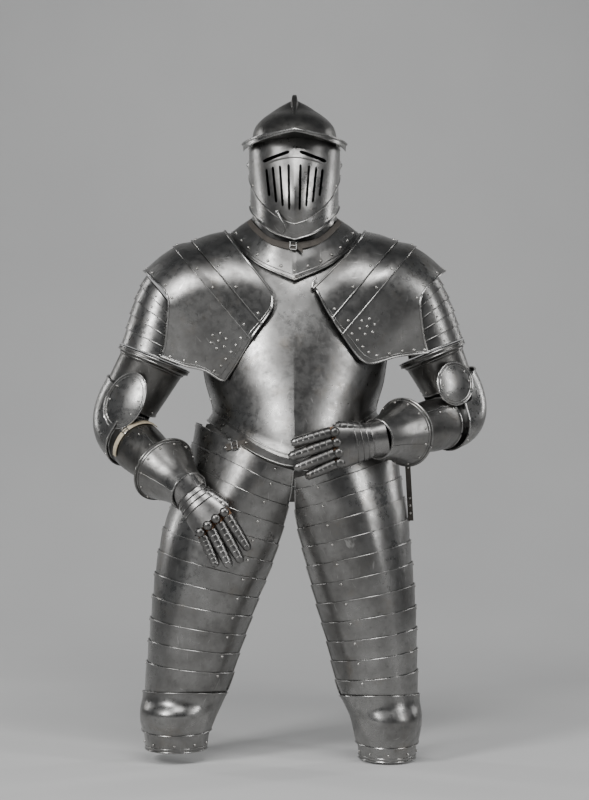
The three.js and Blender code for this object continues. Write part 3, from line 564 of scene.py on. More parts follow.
def helmet_skull():
    surface = ring_surface(SKULL)
    # The wall starts level with the brow, and runs down only behind the face opening.
    cap = shell(surface, ROUND, [(BROW, 0), (SKULL_TOP, 0)], PLATE, spacing=5.0, closed=True)
    back = shell(surface, np.linspace(91, 269, 40), [(SKULL_FOOT, 0), (BROW + 1, 0)], PLATE, spacing=10.0)
    count = len(ROUND)
    top = spot(surface, ROUND, np.full(count, SKULL_TOP))[0]
    peak_point = top.mean(0) + vec(0, 0, 5)
    crown = (np.concatenate([top, [peak_point]]), [(i, (i + 1) % count, count) for i in range(count)])
    columns = 60
    steps = np.linspace(40, 180, columns)
    comb = COMB(steps)
    turn = np.radians(steps)
    outwards = stack(0.0, -np.cos(turn), np.sin(turn))
    across = vec(1, 0, 0)
    profile = [(0.0, 1.0), (0.35, 0.72), (0.7, 0.5), (0.88, 0.42), (0.95, 0.4), (1.0, 0.22)]
    ring = profile + [(h, -w) for h, w in reversed(profile)]
    half_width = COMB_WIDTH(steps)["half"]
    rings = []
    for height, width in ring:
        radius = mix(comb["root"] - 3, comb["edge"], height)
        edge = vec(0, 0, PIVOT_HEIGHT) + outwards * radius[:, None]
        rings.append(edge + across * (width * half_width)[:, None])
    grid = np.stack(rings, axis=1)
    count = len(ring)
    faces = list(map(tuple, grid_faces(columns, count, True)))
    faces += [tuple(range(count))[::-1], tuple(range((columns - 1) * count, columns * count))]
    points, faces = merge([cap, back, crown, (grid.reshape(-1, 3), faces)])
    piece("skull", points, faces, DARK_STEEL, node="helmet_skull")


CUT_DEPTHS = (-60.0, -190.0)


def slot_cutter(start, end, width):
    """A long slot with pointed, rounded ends, seen from the front."""
    start, end = np.asarray(start, float), np.asarray(end, float)
    along = unit(end - start)
    side = vec(-along[1], along[0])
    outline = []
    for centre, sign in ((end, 1), (start, -1)):
        for turn in np.linspace(-80, 80, 7):
            a = math.radians(turn)
            end_on = centre + sign * along * (math.cos(a) - 1) * width * 0.9
            outline.append(end_on + sign * side * math.sin(a) * width / 2)
    outline = np.array(outline)
    count = len(outline)
    points = [vec(p[0], depth, p[1]) for depth in CUT_DEPTHS for p in outline]
    faces = [(i, (i + 1) % count, (i + 1) % count + count, i + count) for i in range(count)]
    faces += [tuple(range(count)), tuple(range(count, 2 * count))[::-1]]
    return points, faces


def cut_with(obj, points, faces):
    """Cuts a mesh out of a piece, and keeps the result as the piece's own mesh."""
    cutter = add_object("cutter", outward_mesh("cutter", points, faces))
    modifier = obj.modifiers.new("cut", "BOOLEAN")
    modifier.operation = "DIFFERENCE"
    modifier.solver = "EXACT"
    modifier.object = cutter
    bpy.context.view_layer.update()
    result = bpy.data.meshes.new_from_object(obj.evaluated_get(bpy.context.evaluated_depsgraph_get()))
    obj.modifiers.remove(modifier)
    material = obj.data.materials[0]
    obj.data = result
    result.materials.clear()
    result.materials.append(material)
    shade(result, 18)
    bpy.data.objects.remove(cutter)


def helmet_visor():
    surface = ring_surface(VISOR)
    edge = lambda name: lambda angle: VISOR_EDGES(np.abs(angle))[name]
    angles = mirrored(np.concatenate([[0, 0.8], np.linspace(3, 40, 14), np.linspace(44, 99, 15)]))
    points, faces = shell(surface, angles, [(edge("low"), 0), (edge("high"), 0)], FACE_PLATE, spacing=7.0)
    visor = piece("visor", points, faces, PLATE_STEEL, node="helmet_visor", sharp=18)
    cutters = []
    for side in SIDES.values():
        cutters.append(slot_cutter((side * 10, 170), (side * 64, 151.5), 7.5))
        for row in BREATHS.rows:
            cutters.append(slot_cutter((side * row[0], row[1]), (side * row[2], row[3]), 5.0))
    cut_with(visor, *merge(cutters))
    ridge_angles = np.linspace(-33, 33, 45)
    ridge_z = 158.5 - 12.5 * np.abs(ridge_angles / 33) ** 1.2
    ridge_radius = 2.0 * np.clip(1.25 - np.abs(ridge_angles / 33) ** 3, 0.3, 1)
    parts = [bead(surface, ridge_angles, ridge_z, 0.2, ridge_radius)]
    line_angles = np.linspace(-97, 97, 90)
    parts.append(bead(surface, line_angles, edge("low")(line_angles) + 2.0, 0.1, 1.2))
    piece("visor_ridges", *merge(parts), PLATE_STEEL, "visor")
    places = []
    for angle in (-84, -64, 64, 84):
        places += rivet_row(surface, angle, edge("low")(angle) + 11, 0)
        places += rivet_row(surface, angle, edge("high")(angle) - 7, 0)
    rivets("visor_rivets", places, "visor", 2.6, 1.8)
    for name, side in SIDES.items():
        centre = vec(side * PIVOT_REACH, 0, PIVOT_HEIGHT)
        normal = vec(side, 0, 0)
        washer = dome_mesh(centre - normal * 1.5, normal, 10.5, 2.6, 20)
        pin = dome_mesh(centre + normal * 0.6, normal, 4.6, 3.4, 14)
        piece(f"visor_pivot_{name}", *merge([washer, pin]), EDGE_STEEL, "visor", sharp=45)


PEAK = dict(rim_half=108, rim_front=151, rim_centre=210, rim_drop=16, point=6, root_height=198, root_drop=8)


def helmet_peak():
    visor = ring_surface(VISOR)
    angles = mirrored(np.linspace(0, 82, 30))
    sin = np.abs(np.sin(np.radians(angles)))
    cos = np.cos(np.radians(angles))
    root, _ = spot(visor, angles, PEAK["root_height"] - PEAK["root_drop"] * sin, 1.0)
    forward = PEAK["rim_front"] * cos ** 0.9 + PEAK["point"] * (1 - sin) ** 2
    rim_height = PEAK["rim_centre"] - PEAK["rim_drop"] * sin
    rim = stack(PEAK["rim_half"] * np.sin(np.radians(angles)), -forward, rim_height)
    t = np.linspace(0, 1, 9)[:, None, None]
    under = mix(root, rim, t)
    piece("peak", *wall(under + vec(0, 0, PLATE), under), DARK_STEEL, node="helmet_peak")
    lip_drop = (3 + 9 * sin ** 2)[:, None]
    lip_in = unit(rim * vec(1, 1, 0)) * 1.6
    lip = np.stack([rim - lip_in * 0.2, rim - lip_in - lip_drop * UP])
    lip_points, lip_faces = wall(lip, lip - lip_in)
    rolled = tube_mesh(rim + vec(0, 0, 0.6), 2.4, 10)
    lower = tube_mesh(lip[1] - lip_in * 0.5, 1.5)
    groove_path = mix(root, rim, 0.82) + vec(0, 0, PLATE)
    groove = tube_mesh(groove_path, 0.8, 6)
    points, faces = merge([rolled, groove, (lip_points, lip_faces), lower])
    piece("peak_rim", points, faces, EDGE_STEEL, "visor", slot="dark_steel")
    places = []
    for i in range(3, len(angles) - 3, 6):
        point = mix(root[i], rim[i], 0.35) + vec(0, 0, PLATE)
        places.append((point, vec(0, -0.15, 1)))
    rivets("peak_rivets", places, "visor", 2.2, 1.5)


def helmet_bevor():
    surface = ring_surface(BEVOR)
    edge = lambda name: lambda angle: BEVOR_EDGES(np.abs(angle))[name]
    row = lambda t, out: (lambda angle: mix(edge("low")(angle), edge("high")(angle), t), out)
    angles = mirrored(np.concatenate([[0, 0.8], np.linspace(3, 108, 40)]))
    rows = [row(0, 2), row(0.1, 0), row(0.5, 0), row(1, 0)]
    points, faces = shell(surface, angles, rows, FACE_PLATE, spacing=7.0)
    piece("bevor", points, faces, PLATE_STEEL, node="helmet_bevor", sharp=18)
    line_angles = np.linspace(-104, 104, 90)
    piece("bevor_rim", *bead(surface, line_angles, edge("low")(line_angles) + 1.5, 1.6, 1.9), PLATE_STEEL)
    places = []
    for angle in (-96, -72, -48, 48, 72, 96):
        places += rivet_row(surface, angle, edge("low")(angle) + 12, 0.3)
    rivets("bevor_rivets", places, radius=2.2, height=1.6)


HOOK = Table(
    "t x y z radius",
    [0, -37, -130, 50, 3.2],
    [1, -33, -132, 44, 3.4],
    [2, -27, -136, 32, 2.4],
    [3, -21, -138, 20, 2.1],
    [4, -19, -136, 11, 1.9],
    [5, -23, -131, 4, 1.5],
)


def visor_hook():
    at = HOOK(np.linspace(0, 5, 36))
    path = stack(at["x"], at["y"] - 0.5, at["z"])
    hook = tube_mesh(path, at["radius"], 10)
    eye = dome_mesh(vec(-35, -133, 47), vec(-0.25, -1, 0.05), 4.8, 2.6, 16)
    piece("hook", *merge([hook, eye]), EDGE_STEEL, node="visor_hook", sharp=50)


# ---------------------------------------------------------------- gorget

GORGET = Table(
    "angle neck_x neck_y neck_z border_x border_y border_z",
    [0, 0, -106, -16, 0, -126, -90],
    [30, 45, -92, -4, 64, -102, -62],
    [60, 76, -52, 24, 110, -62, -26],
    [90, 88, 0, 46, 136, 0, 11],
    [120, 76, 48, 44, 115, 62, 0],
    [150, 44, 82, 40, 66, 100, -30],
    [180, 0, 92, 38, 0, 114, -52],
)
COLLAR_RISE = 26
COLLAR_TAPER = 0.88


def gorget_surface(angle, along):
    """along runs from 0 at the collar's top, through 1 at the neck, to 2 at the outer border."""
    side = np.where(np.sin(np.radians(angle)) < 0, -1.0, 1.0)
    turned = np.abs((np.asarray(angle) + 180) % 360 - 180)
    at = GORGET(turned)
    neck = stack(side * at["neck_x"], at["neck_y"], at["neck_z"])
    collar = neck * vec(COLLAR_TAPER, COLLAR_TAPER, 1) + vec(0, 0, COLLAR_RISE)
    border = stack(side * at["border_x"], at["border_y"], at["border_z"])
    along = np.asarray(along)[..., None]
    return np.where(along < 1, mix(collar, neck, along), mix(neck, border, along - 1))


def gorget_point(angle, along, out):
    """gorget_surface with its normal smoothed over the bend at the neck."""
    step_angle, step = 0.4, 0.03
    angle, along = np.broadcast_arrays(np.asarray(angle, float), np.asarray(along, float))
    over = gorget_surface(angle + step_angle, along) - gorget_surface(angle - step_angle, along)
    down = gorget_surface(angle, along + step) - gorget_surface(angle, along - step)
    normal = -unit(np.cross(over, down))
    return gorget_surface(angle, along) + normal * np.asarray(out)[..., None], normal


def gorget():
    for name, start, end in (("front", -89, 89), ("back", 91, 269)):
        angles = np.linspace(start, end, 61)
        along = np.concatenate([np.linspace(0, 0.9, 7), np.linspace(0.94, 1.2, 8), np.linspace(1.25, 2, 14)])
        out = np.interp(along, [0, 0.9, 1.12, 1.5, 2], [0, 0, 0.5, 1.5, 0])
        grid_angle, grid_along = np.broadcast_arrays(angles[None, :], along[:, None])
        outer, normal = gorget_point(grid_angle, grid_along, np.broadcast_to(out[:, None], grid_angle.shape))
        points, faces = wall(outer, outer - normal * PLATE)
        piece(f"gorget_plate_{name}", points, faces, PLATE_STEEL, node=f"gorget_{name}", bevel=0.4)
        rim = gorget_point(angles, 1.985, 0.4)[0]
        line = gorget_point(angles, 1.86, 0.75)[0]
        collar = gorget_point(angles, 0.03, 0.2)[0]
        points, faces = merge([tube_mesh(rim, 2.6, 10), tube_mesh(line, 1.0), tube_mesh(collar, 2.0)])
        piece(f"gorget_rim_{name}", points, faces, EDGE_STEEL)
        place, place_normal = gorget_point(np.linspace(start + 9, end - 9, 13), 1.74, 1.0)
        rivets(f"gorget_rivets_{name}", list(zip(place, place_normal)))


def neck_strap():
    angles = np.linspace(-78, 78, 61)
    along = np.linspace(1.0, 1.2, 6)
    grid_angle, grid_along = np.broadcast_arrays(angles[None, :], along[:, None])
    sag = 5.0 + 0.4 * np.sin(np.radians(grid_angle) * 9)
    outer, normal = gorget_point(grid_angle, grid_along, sag)
    points, faces = wall(outer, outer - normal * 2.6)
    piece("neck_strap", points, faces, BROWN_LEATHER, node="helmet_neck_strap", bevel=0.5)
    tab_angles = np.linspace(1, 9, 9)
    tab_along = np.linspace(1.0, 1.13, 4)
    tab_angle, tab_grid = np.broadcast_arrays(tab_angles[None, :], tab_along[:, None])
    droop = (tab_angle - 1) / 8
    outer, normal = gorget_point(tab_angle, tab_grid + 0.22 * droop, 7.0 + 1.5 * droop)
    points, faces = wall(outer, outer - normal * 1.8)
    piece("neck_strap_tab", points, faces, BROWN_LEATHER, slot="brown_leather", bevel=0.4)
    corners = [gorget_point(a, b, 7.2)[0] for a, b in ((-5, 0.98), (1.5, 0.98), (1.5, 1.2), (-5, 1.2))]
    loop = resample([*corners, corners[0]], 3.0)[:-1]
    prong = resample([gorget_point(-5, 1.09, 7.4)[0], gorget_point(2, 1.09, 8.2)[0]], 3.0)
    points, faces = merge([tube_mesh(loop, 1.2, closed=True), tube_mesh(prong, 0.9)])
    piece("neck_buckle", points, faces, EDGE_STEEL)


# ---------------------------------------------------------------- cuirass

TORSO = Table(
    "z half front back bulge keel",
    [-470, 160, 168, 96, 2.1, 22],
    [-410, 162, 165, 97, 2.1, 20],
    [-350, 168, 158, 100, 2.1, 18],
    [-290, 184, 150, 110, 2.15, 16],
    [-220, 192, 140, 122, 2.2, 13],
    [-150, 190, 125, 125, 2.2, 10],
    [-80, 178, 105, 115, 2.2, 8],
    [-20, 152, 78, 97, 2.2, 4],
)
BREAST_TOP = Table("angle z", [0, -52], [20, -46], [36, -34], [50, -66], [66, -112], [88, -152])
BACK_TOP = Table("angle z", [92, -152], [114, -112], [130, -66], [144, -34], [160, -40], [180, -44])
WAIST_CENTRE = -440
WAIST_RISE = 92
FLANGE_DROP = 24
FLANGE_FLARE = 16
torso_surface = ring_surface(TORSO)


def waist_line(angle):
    return WAIST_CENTRE + WAIST_RISE * np.abs(np.sin(np.radians(angle))) ** 1.5


def cuirass_half(name, angles, waist, top):
    body = lambda t: (lambda angle: mix(waist(angle), top(angle), t), 0)
    rows = [
        (lambda angle: waist(angle) - FLANGE_DROP, FLANGE_FLARE),
        (lambda angle: waist(angle) - FLANGE_DROP / 3, FLANGE_FLARE / 5),
        *[body(t) for t in (0.03, 0.25, 0.5, 0.75, 1)],
    ]
    points, faces = shell(torso_surface, angles, rows, PLATE, spacing=9.0)
    piece(name + "_plate", points, faces, PLATE_STEEL, node=name, bevel=0.5, sharp=20)
    edges = [
        bead(torso_surface, angles, top(angles) - 2.5, 1.2, 3.0, 10),
        bead(torso_surface, angles, waist(angles) - 1.0, 1.5, 1.7),
        bead(torso_surface, angles, waist(angles) - FLANGE_DROP + 1.5, FLANGE_FLARE - 0.4, 1.6),
    ]
    for end in (0, -1):
        column = np.linspace(waist(angles[end]), top(angles[end]), 30)
        edges.append(bead(torso_surface, angles[end] - (0.5 if end else -0.5), column, 0.2, 1.4))
    piece(name + "_edges", *merge(edges), EDGE_STEEL)


def cuirass():
    breast_top = lambda angle: BREAST_TOP(np.abs(angle))["z"]
    breast_angles = mirrored(np.concatenate([[0, 0.5, 1.5, 3], np.linspace(5, 88, 34)]))
    cuirass_half("breastplate", breast_angles, waist_line, breast_top)
    back_top = lambda angle: BACK_TOP(np.minimum(angle, 360 - angle))["z"]
    back_waist = lambda angle: np.full(np.shape(angle), float(WAIST_CENTRE + WAIST_RISE))
    cuirass_half("backplate", np.linspace(92, 268, 61), back_waist, back_top)
    places = []
    for angle in (-84, 84, 96, 264):
        for z in (-200, -330):
            places += rivet_row(torso_surface, angle, z, 0)
    rivets("cuirass_rivets", places)


CULET = Table(
    "z half front back bulge",
    [-560, 222, 150, 166, 2.2],
    [-500, 221, 150, 163, 2.2],
    [-450, 214, 150, 153, 2.2],
    [-410, 200, 150, 139, 2.2],
    [-376, 187, 150, 124, 2.2],
)
CULET_LAMES = 5
CULET_TOP = -380
CULET_LAME = 34
LAME_FLARE = 3


def culet():
    surface = ring_surface(CULET)
    angles = np.linspace(104, 256, 61)
    parts, edges, places = [], [], []
    for i in range(CULET_LAMES):
        top = CULET_TOP - i * CULET_LAME
        bottom = top - CULET_LAME
        parts.append(shell(surface, angles, [(bottom, LAME_FLARE), (top - 0.4, 0)], 1.6, spacing=8.0))
        edges.append(bead(surface, angles, bottom + 1.2, LAME_FLARE + 0.1, 1.3))
        if i:
            places += rivet_row(surface, np.linspace(110, 250, 9), top + 9, LAME_FLARE * 0.8)
    piece("culet_lames", *merge(parts), DARK_STEEL, node="culet", bevel=0.3)
    piece("culet_edges", *merge(edges), EDGE_STEEL, slot="dark_steel")
    rivets("culet_rivets", places)


# ---------------------------------------------------------------- pauldrons

LAME_SLANT = math.atan2(0.645, 0.764)
PAULDRON = Table(
    "along top reach depth",
    [90, -103, 165, 126],
    [128, -121, 158, 136],
    [158, -131, 150, 138],
    [194, -147, 135, 137],
    [231, -153, 120, 130],
    [281, -152, 110, 120],
    [310, -152, 106, 108],
    [338, -152, 104, 98],
    [365, -152, 102, 92],
)
WING_EDGE = {
    RIGHT: Table(
        "along edge",
        [109, 59],
        [129, 82],
        [191, 101],
        [283, 131],
        [300, 130],
        [312, 95],
        [338, 58],
        [362, 14],
    ),
    LEFT: Table(
        "along edge",
        [84, 27],
        [92, 45],
        [123, 63],
        [173, 82],
        [244, 103],
        [270, 105],
        [287, 95],
        [315, 53],
        [358, 6],
    ),
}
NECK_EDGE = {
    RIGHT: Table("across along", [0, 96], [60, 104], [120, 109]),
    LEFT: Table("across along", [0, 98], [60, 104], [120, 86]),
}
CAP_EDGE = Table("across along", [0, 281], [42, 276], [70, 273], [90, 297], [105, 344], [120, 360])
WING_START, WING_END = 90, 120
SHOULDER_BACK = -78
FIRST_SEAM, SECOND_SEAM, SEAM_TUCK = 158, 194, 8


def shoulder_surface(side):
    def surface(across, along):
        at = PAULDRON(along)
        turn = np.radians(np.clip(across, -WING_START, WING_START))
        straight = np.maximum(across - WING_START, 0) / (WING_END - WING_START)
        shoulder = at["top"] + at["reach"] * (1 - np.cos(turn))
        down = mix(shoulder, WING_EDGE[side](along)["edge"], straight)
        out = along * math.cos(LAME_SLANT) - down * math.sin(LAME_SLANT)
        height = -along * math.sin(LAME_SLANT) - down * math.cos(LAME_SLANT)
        return stack(side * out, -at["depth"] * np.sin(turn), height)
    return surface


def cap_edge(side, across):
    """The outer edge of the main plate, which falls straight down over the front of the arm."""
    across = np.asarray(across, float)
    along = CAP_EDGE(np.abs(across))["along"]
    straight = np.clip((across - WING_START) / (WING_END - WING_START), 0, 1)
    ends = [float(shoulder_surface(1)(a, CAP_EDGE(a)["along"])[0]) for a in (WING_START, WING_END)]
    target = mix(ends[0], ends[1], straight)
    for _ in range(80):
        at = PAULDRON(along)
        down = mix(at["top"] + at["reach"], WING_EDGE[side](along)["edge"], straight)
        wanted = (target + down * math.sin(LAME_SLANT)) / math.cos(LAME_SLANT)
        along = np.where(across > WING_START, mix(along, wanted, 0.2), along)
    return along


def shoulder_across():
    return np.concatenate([np.linspace(SHOULDER_BACK, 88, 56), np.linspace(90, WING_END, 12)])


FLOWER_REACH = 16.0
FLOWER = {RIGHT: (109.0, 254.0), LEFT: (107.8, 230.0)}


def flower(surface, across, along, side):
    """Six rivets around one."""
    centre, normal = spot(surface, across, along, 0, side)
    wide = unit(np.cross(UP, normal))
    tall = np.cross(normal, wide)
    places = [(centre, normal)]
    for i in range(6):
        turn = math.radians(60 * i + 15)
        spoke = FLOWER_REACH * (math.cos(turn) * wide + math.sin(turn) * tall)
        places.append((centre + spoke - normal * 0.4, normal))
    return places


def pauldron(name, side):
    surface = shoulder_surface(side)
    facing = -1 if side == RIGHT else 1
    across = shoulder_across()
    neck = lambda at: NECK_EDGE[side](np.maximum(at, 0))["along"]
    cap = lambda at: cap_edge(side, at)
    first_end, second_end = FIRST_SEAM + SEAM_TUCK, SECOND_SEAM + SEAM_TUCK
    inner = [
        (neck, 0),
        (lambda at: mix(neck(at), FIRST_SEAM, 0.5), LAME_FLARE / 2),
        (FIRST_SEAM - SEAM_TUCK, LAME_FLARE * 0.85),
        (first_end, LAME_FLARE),
    ]
    middle = [
        (FIRST_SEAM - SEAM_TUCK, 0),
        (first_end, LAME_FLARE * 0.2),
        (SECOND_SEAM - SEAM_TUCK, LAME_FLARE * 0.85),
        (second_end, LAME_FLARE),
    ]
    main = [(SECOND_SEAM - SEAM_TUCK, 0)]
    for t in (0, 0.4, 0.62, 0.8, 1):
        main.append((lambda at, t=t: mix(second_end, cap(at), t), 0))
    plates = (("inner_lame", inner, LAME), ("middle_lame", middle, LAME), ("plate", main, PLATE))
    for part, rows, thickness in plates:
        points, faces = shell(surface, across, rows, thickness, facing, spacing=6.0)
        ending = f"{part}_{name}"
        piece("shoulder_" + ending, points, faces, PLATE_STEEL, node="pauldron_" + ending, bevel=0.4)
    wing_along = np.linspace(neck(WING_END) + 5, cap(WING_END) - 1, 70)
    steps = [0, FIRST_SEAM, first_end, first_end + 1, second_end, second_end + 1, 400]
    wing_out = np.interp(wing_along, steps, [1.5, 2.6, 3, 1, 3, 0.2, 0.2])
    edge = lambda a, b, out, radius: bead(surface, a, b, out, radius, side=facing)
    edges = [
        edge(across, neck(across) + 1.2, 0.4, 2.3),
        edge(across, first_end - 0.8, LAME_FLARE + 0.2, 1.2),
        edge(across, second_end - 0.8, LAME_FLARE + 0.2, 1.2),
        edge(across, cap(across) - 1.2, 0.2, 2.2),
        edge(WING_END - 0.3, wing_along, wing_out, 2.3),
        edge(WING_END - 2.6, wing_along, wing_out, 0.9),
    ]
    piece(f"pauldron_edges_{name}", *merge(edges), EDGE_STEEL)
    places = []
    for along, out in ((FIRST_SEAM - 1, 2.4), (SECOND_SEAM - 1, 2.4)):
        places += rivet_row(surface, np.array([-70, -45, 8, 62, 84, 112.0]), along, out, facing)
    places += rivet_row(surface, WING_END - 4.6, np.linspace(SECOND_SEAM + 22, 350, 9), 0, facing)
    spread = np.array([-66, -35, 0, 35, 62, 78.0])
    places += rivet_row(surface, spread, cap(spread) - 9, 0, facing)
    places += flower(surface, *FLOWER[side], facing)
    rivets(f"pauldron_rivets_{name}", places)


# ---------------------------------------------------------------- arms

LEANING = {
    RIGHT: Table(
        "lame x z radius lean",
        [0, -256, -133, 79, 50],
        [1, -262, -150, 79, 44],
        [2, -268, -171, 79, 38],
        [3, -274, -194, 77.5, 32],
        [4, -280, -217, 76, 26.5],
        [5, -286.5, -241, 75, 21.5],
    ),
    LEFT: Table(
        "lame x z radius lean",
        [0, 248, -128, 74, 50],
        [1, 254, -145, 74, 44],
        [2, 261, -165, 74, 38],
        [3, 268, -186, 73, 32],
        [4, 275, -208, 71.5, 26.5],
        [5, 281.5, -229, 70, 21.5],
    ),
}
ARM_DEPTH = -5
ARM_LAMES = 5
ARM = {
    RIGHT: dict(elbow=vec(-372, 16, -386), wrist=vec(-211, -184, -511), ring=76, bend=60, wing_tall=62),
    LEFT: dict(elbow=vec(352, 22, -368), wrist=vec(163, -209, -408), ring=70, bend=80, wing_tall=44),
}
ELBOW_REACH = 62


def lean_axis(side, lean):
    lean = np.radians(lean)
    return stack(side * np.sin(lean), 0.0, -np.cos(lean))


def tube_surface(centre_of, axis_of, radius_of, side):
    """A tube read by the angle around it, 0 outwards and 90 in front, and the distance along it."""
    def surface(angle, along):
        centre, axis, radius = centre_of(along), unit(axis_of(along)), radius_of(along)
        front = unit(FRONT - axis * (axis @ FRONT)[..., None])
        outwards = -side * unit(np.cross(axis, FRONT))
        turn = np.radians(angle)[..., None] if np.ndim(angle) else math.radians(angle)
        radius = np.asarray(radius)[..., None]
        return centre + outwards * radius * np.cos(turn) + front * radius * np.sin(turn)
    return surface


def arm_lames(name, side):
    leaning = LEANING[side]

    def centre(along):
        at = leaning(along)
        return stack(at["x"], float(ARM_DEPTH), at["z"])

    axis = lambda along: lean_axis(side, leaning(along)["lean"])
    surface = tube_surface(centre, axis, lambda along: leaning(along)["radius"], side)
    angles = np.linspace(-130, 130, 61)
    parts, edges, places = [], [], []
    for lame in range(ARM_LAMES):
        parts.append(shell(surface, angles, [(lame + 0.03, -1.2), (lame + 1, 1.1)], LAME, side, spacing=0.34))
        edges.append(bead(surface, angles, lame + 0.97, 1.2, 1.1, side=side))
        places += rivet_row(surface, np.array([-112, -60, 20, 66, 112.0]), lame + 0.62, 0.6, side)
    piece(f"upper_arm_lames_{name}", *merge(parts), PLATE_STEEL, node=f"arm_lames_{name}", bevel=0.3)
    piece(f"arm_lame_edges_{name}", *merge(edges), EDGE_STEEL)
    rivets(f"arm_lame_rivets_{name}", places, radius=2.2, height=1.5)


def arm_axes(side):
    foot = LEANING[side](float(ARM_LAMES))
    shoulder = vec(foot["x"], ARM_DEPTH, foot["z"])
    elbow, wrist = ARM[side]["elbow"], ARM[side]["wrist"]
    return shoulder, unit(elbow - shoulder), unit(wrist - elbow), float(foot["lean"])


CANNON_TAPER = 15


def upper_cannon(name, side):
    shoulder, upper, _, lean = arm_axes(side)
    ring_axis = lean_axis(side, lean)
    arm = ARM[side]
    length = float(np.linalg.norm(arm["elbow"] - shoulder) - arm["bend"])
    swell = np.array([(1, -6), (3, 0), (9, 1.5), (14, -5), (20, -8.5), (length, -CANNON_TAPER)])

    def centre(along):
        return shoulder + upper * (np.asarray(along)[..., None] + 1.5)

    def axis(along):
        return mix(ring_axis, upper, np.clip(np.asarray(along) / length, 0, 1)[..., None])

    def radius(along):
        return arm["ring"] + np.interp(along, swell[:, 0], swell[:, 1])

    surface = tube_surface(centre, axis, radius, side)
    stations = np.concatenate([np.linspace(1, 22, 16), np.linspace(26, length, 12)])
    grid_angle, grid_along = np.broadcast_arrays(ROUND[None, :], stations[:, None])
    outer = surface(grid_angle, grid_along)
    inward = unit(centre(grid_along) - outer)
    points, faces = wall(outer, outer + inward * PLATE, closed=True)
    piece(f"cannon_plate_{name}", points, faces, DARK_STEEL, node=f"upper_cannon_{name}", bevel=0.4)

    def line(along, out, thick):
        stretch = np.full(ROUND.shape, along)
        ring = surface(ROUND, stretch)
        return tube_mesh(ring - unit(centre(stretch) - ring) * out, thick, closed=True)

    rings = [line(3.5, 0.6, 1.7), line(10.5, 0.6, 1.5), line(16.5, 0.3, 1.0), line(length - 2, 0.2, 1.6)]
    piece(f"cannon_rings_{name}", *merge(rings), EDGE_STEEL, slot="dark_steel")
    places = []
    for angle in (30, 70, 150, 250):
        point = surface(np.array(float(angle)), np.array(length - 9))
        places.append((point, -unit(centre(np.array(length - 9)) - point)))
    rivets(f"cannon_rivets_{name}", places, radius=2.3)


COUTER_RADII = Table("t radius", [0, 66], [0.5, 62], [1, 58])
COUTER_TOP = 84
COUTER_LIP = 26
WING = dict(wide=46, lift=70, bulge=9, lip=12, overlap=7)


